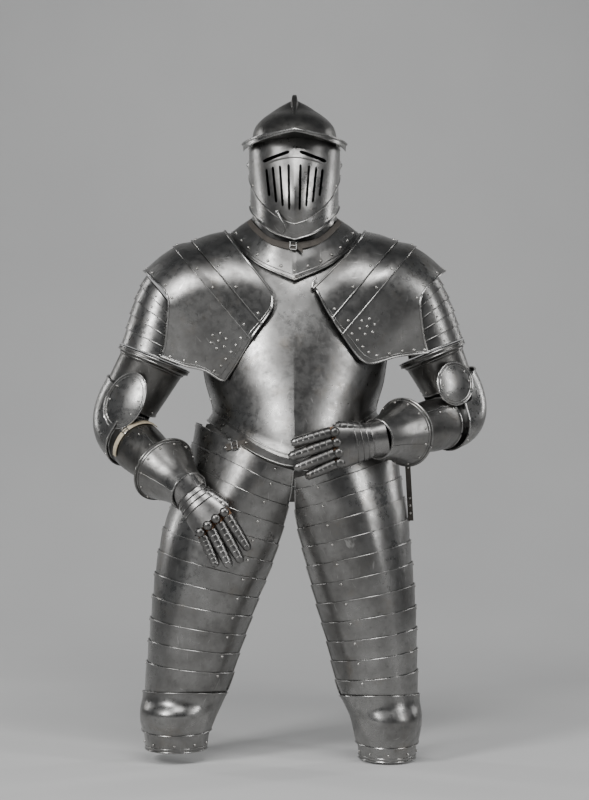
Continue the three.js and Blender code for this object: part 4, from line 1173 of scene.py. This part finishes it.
def couter(name, side):
    """The elbow plate: one band around the outside of the bend, with an oval wing over its front."""
    _, upper, fore, _ = arm_axes(side)
    elbow, wing_tall = ARM[side]["elbow"], ARM[side]["wing_tall"]
    start, end = elbow - upper * ELBOW_REACH, elbow + fore * ELBOW_REACH
    outwards = unit(upper - fore)
    hinge = unit(np.cross(upper, fore))
    frontwards = hinge if hinge[1] < 0 else -hinge
    stations = [(-1.0, elbow - upper * COUTER_TOP, upper)]
    for t in np.linspace(0, 1, 25):
        centre = (1 - t) ** 2 * start + 2 * t * (1 - t) * elbow + t * t * end
        stations.append((t, centre, unit(2 * (1 - t) * (elbow - start) + 2 * t * (end - elbow))))

    def rim(station, angle, lip, inset, radius_gain=0.0):
        t, centre, axis = station
        spoke = unit(outwards - axis * (outwards @ axis))
        radius = float(COUTER_RADII(max(t, 0))["radius"]) - inset + radius_gain
        turn = math.radians(angle)
        return centre + spoke * (radius * math.cos(turn) - lip) + frontwards * radius * math.sin(turn)

    angles = [(a, 0.0) for a in np.linspace(-95, 90, 40)]
    angles += [(90, lip) for lip in np.linspace(5, COUTER_LIP, 5)]
    grid = lambda inset: np.array([[rim(s, a, lip, inset) for a, lip in angles] for s in stations])
    parts = [wall(grid(0), grid(PLATE))]
    edges = []
    for index in (0, -1):
        edges.append(tube_mesh([rim(stations[index], a, lip, 0, 0.3) for a, lip in angles], 2.0, 8))
    facing = unit(FRONT - upper * (FRONT @ upper))
    normal = unit(frontwards + facing * 0.5)
    tall = unit(-upper - normal * (-upper @ normal))
    wide = np.cross(normal, tall) * side
    anchor = rim(stations[1], 90, WING["lip"], 0) + tall * (WING["lift"] - wing_tall)
    centre = anchor + wide * (WING["wide"] - WING["overlap"])
    around = 48
    turns = np.radians(np.arange(around) * 360 / around)
    shape = np.cos(turns)[:, None] * wide * WING["wide"] + np.sin(turns)[:, None] * tall * wing_tall
    levels = np.array([1, 0.96, 0.88, 0.7, 0.5, 0.3, 0.12])

    def dish(depth):
        height = WING["bulge"] * (1 - levels ** 2) - depth
        return centre + levels[:, None, None] * shape + normal * height[:, None, None]

    outer, inner = dish(0), dish(PLATE)
    outer_tip, inner_tip = (centre + normal * (WING["bulge"] - depth) for depth in (0, PLATE))
    points = np.concatenate([outer.reshape(-1, 3), [outer_tip], inner.reshape(-1, 3), [inner_tip]])
    count = len(levels) * around
    faces = [tuple(f) for f in grid_faces(len(levels), around, True)]
    faces += [tuple(f + count + 1) for f in grid_faces(len(levels), around, True)]
    last = (len(levels) - 1) * around
    for i in range(around):
        j = (i + 1) % around
        faces += [(last + i, last + j, count), (last + i + count + 1, last + j + count + 1, 2 * count + 1)]
        faces.append((i, j, j + count + 1, i + count + 1))
    parts.append((points, faces))
    piece(f"elbow_plate_{name}", *merge(parts), PLATE_STEEL, node=f"couter_{name}", bevel=0.3)
    ring = lambda level, lift, r: tube_mesh(
        centre + level * shape + normal * (WING["bulge"] * (1 - level ** 2) + lift), r, closed=True)
    edges += [ring(0.985, 0.3, 2.2), ring(0.86, 0.2, 1.1)]
    piece(f"elbow_edges_{name}", *merge(edges), EDGE_STEEL)
    places = []
    for station in (stations[1], stations[7], stations[-2]):
        for angle in (-70, -20, 35):
            inner_point = rim(station, angle, 0, 0)
            centre_point = rim(station, angle, 0, 40)
            places.append((inner_point, unit(inner_point - centre_point)))
    for turn in np.radians([20, 90, 160, 200, 340]):
        place = centre + 0.74 * (math.cos(turn) * wide * WING["wide"] + math.sin(turn) * tall * wing_tall)
        places.append((place + normal * WING["bulge"] * (1 - 0.74 ** 2), normal))
    rivets(f"elbow_rivets_{name}", places, radius=2.4)


LOWER_CANNON = Table("along radius", [0, 52], [40, 53], [90, 48], [135, 40], [170, 36])
CUFF = Table("along radius", [0, 68], [4, 66], [33, 55], [63, 45], [97, 39])
CUFF_LENGTH = 94
CUFF_END = 97
CANNON_LENGTH = 170
CUFF_STRAP = dict(along=26, width=11, out=1.5, thickness=2, start=40, end=185)


def fore_surface(side, rows, start, grow=0.0):
    _, _, fore, _ = arm_axes(side)
    elbow = ARM[side]["elbow"]
    centre = lambda along: elbow + fore * (start + np.asarray(along)[..., None])
    axis = lambda along: np.broadcast_to(fore, np.shape(along) + (3,))
    return tube_surface(centre, axis, lambda along: rows(along)["radius"] + grow, side)


def forearm(name, side):
    arm = ARM[side]
    surface = fore_surface(side, LOWER_CANNON, arm["bend"])
    points, faces = shell(surface, ROUND, [(0, 0), (CANNON_LENGTH, 0)], PLATE, side, spacing=9.0, closed=True)
    piece(f"forearm_plate_{name}", points, faces, DARK_STEEL, node=f"lower_cannon_{name}", bevel=0.4)
    mouth = fore_surface(side, LOWER_CANNON, arm["bend"], 0.4)
    edges = [tube_mesh(mouth(ROUND, np.full(ROUND.shape, 1.5)), 1.7, closed=True)]
    seam = mouth(np.full(30, 128.0), np.linspace(2, 168, 30))
    edges.append(tube_mesh(seam, 0.9, 6))
    piece(f"forearm_edges_{name}", *merge(edges), EDGE_STEEL, slot="dark_steel")
    places = rivet_row(surface, 118.0, np.array([14.0, 60, 100]), 0, side)
    places += rivet_row(surface, 300.0, np.array([14.0, 100]), 0, side)
    rivets(f"forearm_rivets_{name}", places, radius=2.2)
    start = float(np.linalg.norm(arm["wrist"] - arm["elbow"]) - CUFF_LENGTH)
    cuff = fore_surface(side, CUFF, start)
    points, faces = shell(cuff, ROUND, [(0, 0), (CUFF_END, 0)], PLATE, side, spacing=6.0, closed=True)
    piece(f"cuff_plate_{name}", points, faces, PLATE_STEEL, node=f"gauntlet_cuff_{name}", bevel=0.4)

    def line(along, grow, radius):
        ring = fore_surface(side, CUFF, start, grow)(ROUND, np.full(ROUND.shape, along))
        return tube_mesh(ring, radius, 10, closed=True)

    edges = [line(1.5, 0.6, 2.4), line(7.5, 0.5, 1.0), line(95, 0.3, 1.4)]
    crease = fore_surface(side, CUFF, start, 0.2)(np.full(30, 60.0), np.linspace(6, 94, 30))
    edges.append(tube_mesh(crease, 1.0, 6))
    piece(f"cuff_edges_{name}", *merge(edges), EDGE_STEEL)
    places = rivet_row(cuff, np.linspace(0, 330, 12), 13.0, 0, side)
    rivets(f"cuff_rivets_{name}", places, radius=2.8)


def cuff_strap():
    strap = CUFF_STRAP
    start = ARM[RIGHT]["bend"] + strap["along"]
    radius = float(LOWER_CANNON(strap["along"])["radius"]) + strap["out"] + strap["thickness"]
    flat = Table("along radius", [0, radius], [strap["width"], radius])
    surface = fore_surface(RIGHT, flat, start)
    angles = np.linspace(strap["start"], strap["end"], 50)
    rows = [(0, 0), (strap["width"], 0)]
    points, faces = shell(surface, angles, rows, strap["thickness"], RIGHT, spacing=3.0)
    piece("forearm_strap", points, faces, BUFF_LEATHER, node="cuff_strap", bevel=0.4)
    outer = fore_surface(RIGHT, flat, start, 1.6)
    frame_corners = ((96.0, -2.5), (108.0, -2.5), (108.0, 13.5), (96.0, 13.5))
    corners = [outer(np.array(a), np.array(b)) for a, b in frame_corners]
    loop = resample([*corners, corners[0]], 2.5)[:-1]
    prong = resample([outer(np.array(96.0), np.array(5.5)), outer(np.array(109.0), np.array(5.5))], 2.5)
    points, faces = merge([tube_mesh(loop, 1.1, closed=True), tube_mesh(prong, 0.8)])
    piece("forearm_buckle", points, faces, EDGE_STEEL)


# ---------------------------------------------------------------- gauntlet hands

HAND = {
    RIGHT: dict(
        knuckles=vec(-158, -212, -576),
        fingertips=vec(-113, -206, -660),
        thumb_side=vec(0.86, -0.1, 0.5),
    ),
    LEFT: dict(
        knuckles=vec(80, -221, -424),
        fingertips=vec(-18, -221, -458),
        thumb_side=vec(-0.2, -0.12, 0.97),
    ),
}
PALM = Table("along half thick", [-8, 31, 26], [20, 34, 22], [52, 40, 19], [84, 43, 15])
FINGERS = Table(
    "offset spread length radius",
    [31, 4, 84, 11],
    [10.5, 1, 94, 11.5],
    [-10.5, -2, 88, 11.5],
    [-31, -5, 70, 10.5],
)
THUMB = dict(start=20, out=30, length=62, radius=12)


def hand_frame(side):
    hand, wrist = HAND[side], ARM[side]["wrist"]
    palm = unit(hand["knuckles"] - wrist)
    fingers = unit(hand["fingertips"] - hand["knuckles"])
    towards = unit(hand["thumb_side"] - palm * (hand["thumb_side"] @ palm))
    back = unit(np.cross(palm, towards))
    if back[1] > 0:
        back = -back
    return wrist, hand["knuckles"], palm, fingers, towards, back


def oval(centre, half, depth, wide, thick, turns):
    """Points around an oval; turns are degrees, 90 on the back."""
    return [centre + wide * half * math.cos(a) + thick * depth * math.sin(a) for a in np.radians(turns)]


def oval_tube(rings, wide, thick, turns, thickness):
    """A wall around an oval section; rings are (centre, half, depth)."""
    closed = bool(abs(turns[-1] - turns[0]) > 340)
    grid = lambda inset: np.array([
        oval(c, half - inset, depth - inset, wide, thick, turns) for c, half, depth in rings
    ])
    return wall(grid(0), grid(thickness), closed)


def finger_mesh(root, aim, wide, back, length, radius, scales):
    """Overlapping scales over the back of a finger, each a short arched plate."""
    parts, edges = [], []
    taper = lambda t: radius * (1.04 - 0.30 * t ** 2.2)
    turns = np.linspace(-12, 192, 17)
    for i in range(scales):
        t0, t1 = i / scales, (i + 1.28) / scales
        if i == scales - 1:
            t1 = 1.02
        rings = []
        for k, t in enumerate((t0, mix(t0, t1, 0.5), t1)):
            lift = (0.7, 1.6, 0.6)[k]
            end = 0.55 if (i == scales - 1 and k == 2) else 1.0
            width = taper(t)
            rings.append((root + aim * length * t, width * end + lift * 0.7, (width * 0.95) * end + lift))
        parts.append(oval_tube(rings, wide, back, turns, 1.0))
        start, half, depth = rings[0]
        crest = oval(start, half + 0.1, depth + 0.1, wide, back, turns)
        edges.append(tube_mesh(crest, 0.75, 6, lift=aim))
    return parts, edges


def glove_finger(root, aim, wide, back, length, radius):
    rings = []
    for t in np.linspace(-0.15, 1, 14):
        scale = 0.9 - 0.28 * max(t, 0) ** 2.5
        if t > 0.9:
            scale *= math.sqrt(max(1 - ((t - 0.9) / 0.105) ** 2, 0.05))
        rings.append((root + aim * length * t, radius * scale, radius * scale * 0.92))
    around = 16
    turns = np.linspace(0, 345, around)
    points, faces = oval_tube(rings, wide, back, turns, 1.2)
    tip = rings[-1][0] + aim * 0.8
    start = len(points)
    last = (len(rings) - 1) * around
    points = np.concatenate([points, [tip]])
    faces = list(map(tuple, faces)) + [(last + i, last + (i + 1) % around, start) for i in range(around)]
    return points, faces


def digit(root, aim, back, towards, length, radius, scales):
    """The scales, their edges and the glove of one finger or of the thumb."""
    thick = unit(back - aim * (back @ aim))
    wide = unit(towards - aim * (towards @ aim))
    parts, rims = finger_mesh(root + aim * 4, aim, wide, thick, length - 5, radius - 0.6, scales)
    return parts, rims, glove_finger(root, aim, wide, thick, length, radius)


WRIST_LAME = ((-16, 38, 34), (-2, 36.5, 31.5), (11, 34.5, 28))
HAND_LAMES = ((-8, 12), (8, 22), (18, 33), (29, 45))


def gauntlet_hand(name, side):
    wrist, knuckles, palm, fingers, towards, back = hand_frame(side)
    steel_parts, edges, places, glove = [], [], [], []
    full = np.linspace(0, 354, 60)
    half_turn = np.linspace(-20, 200, 41)

    def station(along, grow):
        at = PALM(along)
        return wrist + palm * along, float(at["half"]) + grow, float(at["thick"]) + grow

    for low, high in HAND_LAMES:
        rings = [station(low, 0.2), station(mix(low, high, 0.5), 1.0), station(high, 1.8)]
        steel_parts.append(oval_tube(rings, towards, back, half_turn, 1.2))
        c, h, d = station(high - 0.8, 1.9)
        edges.append(tube_mesh(oval(c, h, d, towards, back, half_turn), 0.9, 6, lift=palm))
        for a in (8, 172):
            angle = math.radians(a)
            c, h, d = station(mix(low, high, 0.55), 1.4)
            point = c + towards * h * math.cos(angle) + back * d * math.sin(angle)
            places.append((point, towards * math.cos(angle) + back * math.sin(angle)))
    flared = [(wrist + palm * along, half, thick) for along, half, thick in WRIST_LAME]
    steel_parts.append(oval_tube(flared, towards, back, full, 1.2))
    rings = [station(40, 0.4), station(56, 1.4), station(72, 1.6), station(82, 2.4)]
    steel_parts.append(oval_tube(rings, towards, back, half_turn, 1.4))
    glove.append(oval_tube([station(a, -1.6) for a in (-6, 10, 30, 50, 70, 84)], towards, back, full, 1.2))
    for offset, spread, length, radius in FINGERS.rows:
        root = knuckles + towards * offset
        aim = unit(fingers + towards * spread / 60)
        parts, rims, leather_tube = digit(root, aim, back, towards, length, radius, 7)
        steel_parts += parts
        edges += rims
        glove.append(leather_tube)
        boss = root - palm * 3 + back * (float(PALM(82)["thick"]) - 1.0) * (1 - 0.25 * (offset / 31) ** 2)
        steel_parts.append(dome_mesh(boss, unit(back + palm * 0.15), 9.8, 6.4, 18))
    thumb_root = wrist + palm * THUMB["start"] + towards * (THUMB["out"] - 8)
    thumb_aim = unit(palm + towards * 0.35)
    parts, rims, leather_tube = digit(
        thumb_root, thumb_aim, back, towards, THUMB["length"], THUMB["radius"], 5)
    steel_parts += parts
    edges += rims
    glove.append(leather_tube)
    piece(f"hand_scales_{name}", *merge(steel_parts), HAND_STEEL, node=f"gauntlet_hand_{name}", sharp=40)
    piece(f"hand_edges_{name}", *merge(edges), HAND_STEEL, slot="gauntlet_steel")
    piece(f"glove_{name}", *merge(glove), GLOVE_LEATHER, slot="brown_leather")
    rivets(f"hand_rivets_{name}", places, radius=1.6, height=1.0, material=HAND_STEEL)


# ---------------------------------------------------------------- legs

LEG = {
    RIGHT: Table(
        "z x half y front wrap ridge",
        [-1060, -241, 58, -62, 74, 84, 34],
        [-984, -238, 70, -66, 84, 84, 34],
        [-915, -220, 84, -68, 90, 82, 33],
        [-850, -207, 91, -66, 96, 80, 31],
        [-739, -183, 106, -54, 112, 76, 27],
        [-662, -164, 117, -38, 129, 64, 22],
        [-576, -142, 121, -24, 142, 50, 18],
        [-494, -116, 111, -10, 154, 30, 15],
        [-400, -104, 102, 0, 153, 6, 14],
    ),
    LEFT: Table(
        "z x half y front wrap ridge",
        [-1080, 189, 54, -56, 74, 84, 34],
        [-978, 186, 67, -62, 86, 84, 34],
        [-921, 171, 79, -64, 92, 82, 33],
        [-821, 158, 90, -62, 100, 80, 31],
        [-750, 147, 99, -58, 106, 76, 28],
        [-641, 129, 109, -36, 130, 62, 22],
        [-568, 118, 114, -22, 142, 48, 18],
        [-515, 112, 110, -13, 150, 34, 16],
        [-400, 104, 102, 0, 153, 6, 14],
    ),
}
LEG_BACK = 80
RIDGE_HEIGHT = 0.04
RIDGE_REACH = 55
LEG_INNER, LEG_OUTER = -90, 110
LEG_RIVETS = {RIGHT: (-37, -45), LEFT: (-34, -24)}
LAMES_PER_LEG = 12
LAME_EXPOSURE = 41
LAME_OVERLAP = 10
LAME_TOPS = {
    RIGHT: dict(first=-424, second=-461, slant=22),
    LEFT: dict(first=-440, second=-478, slant=17),
}
KNEE_SLANT = 6.5
KNEE_PLATE_BOTTOM = {RIGHT: -962, LEFT: -985}
POLEYN = {
    RIGHT: dict(top=-924, bottom=-1000, lame_bottom=-1040),
    LEFT: dict(top=-930, bottom=-1026, lame_bottom=-1060),
}


def leg_arc(side, z, across):
    at = LEG[side](z)
    angle = np.where(across < 0, across * at["wrap"] / 90, across)
    radius = 2 * at["half"] / (1 + np.sin(np.radians(at["wrap"])))
    outwards = at["half"] - radius + radius * np.sin(np.radians(angle))
    return at, angle, outwards


def leg_surface(side):
    def surface(across, z):
        at, angle, outwards = leg_arc(side, z, across)
        ridge = 1 + RIDGE_HEIGHT * np.maximum(0, 1 - np.abs(across - at["ridge"]) / RIDGE_REACH)
        cos = np.cos(np.radians(angle))
        depth = np.where(cos > 0, at["front"], LEG_BACK)
        return stack(at["x"] + side * outwards * ridge, at["y"] - depth * cos * ridge, z)
    return surface


def lame_top(side, index):
    tops = LAME_TOPS[side]
    centre = tops["first"] if index == 0 else tops["second"] - (index - 1) * LAME_EXPOSURE
    tilt = 24 if index == 0 else mix(tops["slant"], KNEE_SLANT, (index - 1) / (LAMES_PER_LEG - 2))
    rise = math.tan(math.radians(tilt))
    return lambda across: centre + rise * leg_arc(side, float(centre), np.asarray(across, float))[2]


def leg(name, side):
    surface = leg_surface(side)
    across = np.concatenate([np.linspace(LEG_INNER, 30, 44), np.linspace(33, LEG_OUTER, 22)])
    edges, places = [], []
    for index in range(LAMES_PER_LEG):
        top = lame_top(side, index)
        if index == LAMES_PER_LEG - 1:
            bottom = KNEE_PLATE_BOTTOM[side]
            foot = lambda a: bottom
            rows = [(bottom, 0), (mix(float(top(0.0)), bottom, 0.5), 0.6), (top, LAME_FLARE)]
        else:
            foot = lame_top(side, index + 1)
            rows = [(lambda a, b=foot: b(a) - LAME_OVERLAP, 0), (foot, 0.5), (top, LAME_FLARE)]
        points, faces = shell(surface, across, rows, LAME, side, spacing=9.0)
        lame = f"lame_{name}_{index + 1}"
        piece("thigh_" + lame, points, faces, PLATE_STEEL, node="tasset_" + lame, bevel=0.3)
        edges.append(bead(surface, across, top(across) - 0.8, LAME_FLARE + 0.1, 0.9, 6, side))
        for border in (LEG_INNER + 0.8, LEG_OUTER - 0.6):
            high_z, low_z = float(top(border)), float(foot(np.array(border)))
            z = np.linspace(low_z, high_z - 1, 8)
            out = np.interp(z, [low_z, high_z], [0.6, LAME_FLARE]) + 0.2
            edges.append(bead(surface, border, z, out, 1.7, side=side))
        near, far = LEG_RIVETS[side]
        for a in (mix(near, far, index / (LAMES_PER_LEG - 1)), LEG_OUTER - 16):
            places += rivet_row(surface, a, float(top(a)) - 7, LAME_FLARE - 0.4, side)
    piece(f"thigh_edges_{name}", *merge(edges), EDGE_STEEL)
    rivets(f"thigh_rivets_{name}", places, radius=3.0)
    knee(name, side, surface, across)


KNEE_RIM = 0.12
KNEE_DOME = Table("t out bulge", [0, 5, 0], [KNEE_RIM, 4, 3], [0.4, 5, 16], [0.72, 5, 12], [1, 3.4, 0])


def knee(name, side, surface, across):
    at = POLEYN[side]
    fine = []
    for t in np.linspace(1, 0, 19):
        row = KNEE_DOME(t)
        rise = mix(8, -4, min(t / KNEE_RIM, 1))

        def along(a, t=t, rise=rise):
            return mix(at["top"], at["bottom"], t) + rise * np.cos(np.radians(a))

        def out(a, row=row):
            return float(row["out"]) + float(row["bulge"]) * np.maximum(np.cos(np.radians(a - 8)), 0) ** 2

        fine.append((along, out))
    points, faces = shell(surface, across, fine, PLATE, side, spacing=20.0)
    piece(f"knee_cop_{name}", points, faces, PLATE_STEEL, node=f"poleyn_{name}", bevel=0.3)
    lame_rows = [(at["lame_bottom"], 1.5), (at["bottom"] - 4, 0.2), (at["bottom"] + 12, 0.2)]
    points, faces = shell(surface, across, lame_rows, LAME, side, spacing=7.0)
    piece(f"knee_lame_{name}", points, faces, PLATE_STEEL, node=f"poleyn_lame_{name}", bevel=0.3)
    line = lambda along, out, radius: bead(surface, across, along, out, radius, side=side)
    edges = [
        line(fine[-1][0](across), 5.2, 1.0),
        line(fine[0][0](across), 3.8, 1.6),
        line(at["lame_bottom"] + 1.5, 1.8, 1.8),
        line(at["lame_bottom"] + 8.0, 1.6, 0.8),
    ]
    piece(f"knee_edges_{name}", *merge(edges), EDGE_STEEL)
    places = []
    for a in (-76, -40, 0, 40, 80):
        places += rivet_row(surface, float(a), at["lame_bottom"] + 15, 1.4, side)
    rivets(f"knee_rivets_{name}", places, radius=2.8)


# ---------------------------------------------------------------- straps and fittings at the hips

HIP_HINGE = 33.0
LOOSE_STRAP = dict(start=vec(232, -44, -462), end=vec(238, -52, -578), half=5.5, thickness=2.2)


def loose_strap():
    """A strap end that hangs at the left hip, and its rivets."""
    strap = LOOSE_STRAP
    drop = np.linspace(strap["start"], strap["end"], 16)
    outer = np.stack([drop - vec(strap["half"], 0, 0), drop + vec(strap["half"], 0, 0)], axis=1)
    places = [(point + vec(0, -0.2, 0), FRONT) for point in drop[[1, 9, 11, 13]]]
    return wall(outer, outer + vec(0, strap["thickness"], 0)), places


def tasset_hinges():
    """A short strap with a buckle hangs each leg from a pin on the waist flange."""
    for name, side in SIDES.items():
        surface = leg_surface(side)
        height = waist_line(HIP_HINGE) - FLANGE_DROP + 10
        start, normal = spot(torso_surface, side * HIP_HINGE, height, FLANGE_FLARE * 0.5)
        leg_height = float(lame_top(side, 0)(HIP_HINGE)) - 16
        end, end_normal = spot(surface, HIP_HINGE, leg_height, LAME_FLARE + 2.0, side)
        wide = unit(np.cross(normal, end - start))
        route = np.array([start + normal * 3, mix(start, end, 0.45) + normal * 6, end + end_normal * 1.5])
        t = np.linspace(0, 1, 14)[:, None]
        curve = (1 - t) ** 2 * route[0] + 2 * t * (1 - t) * route[1] + t * t * route[2]
        outward = unit(mix(normal, end_normal, 0.5))
        outer = np.stack([curve - wide * 7, curve, curve + wide * 7], axis=1)
        leathers = [wall(outer, outer - outward * 2.0)]
        places = [(start + normal * 3, normal), (end + end_normal * 1.5, end_normal)]
        middle = curve[7] + outward * 1.4
        down = unit(curve[8] - curve[6])
        corners = [middle + wide * a * 9 + down * b * 6 for a, b in ((-1, -1), (1, -1), (1, 1), (-1, 1))]
        loop = resample([*corners, corners[0]], 2.5)[:-1]
        prong = resample([middle - down * 6, middle + down * 7 + outward], 2.5)
        if side == LEFT:
            leather_end, strap_places = loose_strap()
            leathers.append(leather_end)
            places += strap_places
        piece(f"hip_straps_{name}", *merge(leathers), BROWN_LEATHER, slot="brown_leather", bevel=0.3)
        frame_tube = tube_mesh(loop, 1.2, closed=True, lift=outward)
        points, faces = merge([frame_tube, tube_mesh(prong, 0.9, lift=outward)])
        piece(f"hip_buckles_{name}", points, faces, EDGE_STEEL)
        rivets(f"hip_rivets_{name}", places, radius=3.0)


# ---------------------------------------------------------------- building

helmet_skull()
helmet_bevor()
helmet_visor()
helmet_peak()
visor_hook()
gorget()
neck_strap()
cuirass()
culet()
cuff_strap()
for side_name, side_sign in SIDES.items():
    pauldron(side_name, side_sign)
    arm_lames(side_name, side_sign)
    upper_cannon(side_name, side_sign)
    couter(side_name, side_sign)
    forearm(side_name, side_sign)
    gauntlet_hand(side_name, side_sign)
    leg(side_name, side_sign)
tasset_hinges()


# ---------------------------------------------------------------- floor, light and camera

EYE_DISTANCE = 4.5
EYE_HEIGHT = -0.331
VIEW_TALL = 1.656


FLOOR_GAP = 0.004
FLOOR_FRONT, FLOOR_HALF = -6.0, 7.0
CURVE_START, CURVE_RADIUS, WALL_HEIGHT = 1.4, 1.6, 6.0


def stage():
    """A pale floor that curves up into a wall behind the armour; sizes here are metres."""
    floor_height = cad_box[0][2] - FLOOR_GAP
    profile = [(FLOOR_FRONT, 0.0), (CURVE_START, 0.0)]
    for turn in np.radians(np.linspace(0, 90, 16)):
        profile.append((CURVE_START + CURVE_RADIUS * math.sin(turn), CURVE_RADIUS * (1 - math.cos(turn))))
    profile.append((CURVE_START + CURVE_RADIUS, WALL_HEIGHT))
    points = [(x, y, floor_height + z) for x in (FLOOR_HALF, -FLOOR_HALF) for y, z in profile]
    count = len(profile)
    faces = [(i, i + 1, i + 1 + count, i + count) for i in range(count - 1)]
    mesh = bpy.data.meshes.new("floor")
    mesh.from_pydata(points, [], faces)
    mesh.shade_smooth()
    material, tree, shader = node_tree("floor_paint")
    shade_noise = noise(tree, 1.5, 3.0, 0.5)
    colour = blend_colour(tree, ramp(tree, shade_noise, 0.3, 0.7), (0.52, 0.52, 0.52), (0.56, 0.56, 0.555))
    tree.links.new(colour, shader.inputs["Base Color"])
    shader.inputs["Roughness"].default_value = 0.9
    mesh.materials.append(material)
    add_object("floor", mesh)


def area_light(name, location, target, size, energy):
    data = bpy.data.lights.new(name, "AREA")
    data.shape = "RECTANGLE"
    data.size, data.size_y = size
    data.energy = energy
    light = add_object(name, data)
    light.location = location
    from_target = Vector(location) - Vector(target)
    light.rotation_euler = from_target.to_track_quat("Z", "Y").to_euler()


# Name, place, target, size and watts, in metres.
LIGHTS = [
    ("key", (-2.2, -2.6, 1.2), (0, 0, 0.0), (0.8, 1.7), 96),
    ("fill", (2.9, -1.9, 0.7), (0, 0, -0.1), (0.5, 2.0), 42),
    ("top", (0.2, -2.1, 2.3), (0, 0, 0.2), (1.8, 0.9), 66),
    ("rim_right", (-2.2, 1.2, 0.5), (0, 0, -0.2), (0.3, 1.8), 16),
    ("rim_left", (2.2, 1.2, 0.5), (0, 0, -0.2), (0.3, 1.8), 16),
]


def lights():
    world = bpy.data.worlds.new("studio")
    bpy.context.scene.world = world
    world.use_nodes = True
    background = world.node_tree.nodes["Background"]
    background.inputs["Color"].default_value = (0.9, 0.95, 1.0, 1.0)
    background.inputs["Strength"].default_value = 0.09
    for light in LIGHTS:
        area_light(*light)


def camera():
    data = bpy.data.cameras.new("camera")
    data.sensor_width = 36
    data.lens = data.sensor_width / 2 / (VIEW_TALL / 2 / EYE_DISTANCE)
    eye = add_object("camera", data)
    eye.location = (0, -EYE_DISTANCE, EYE_HEIGHT)
    eye.rotation_euler = (math.pi / 2, 0, 0)
    bpy.context.scene.camera = eye


stage()
lights()
camera()
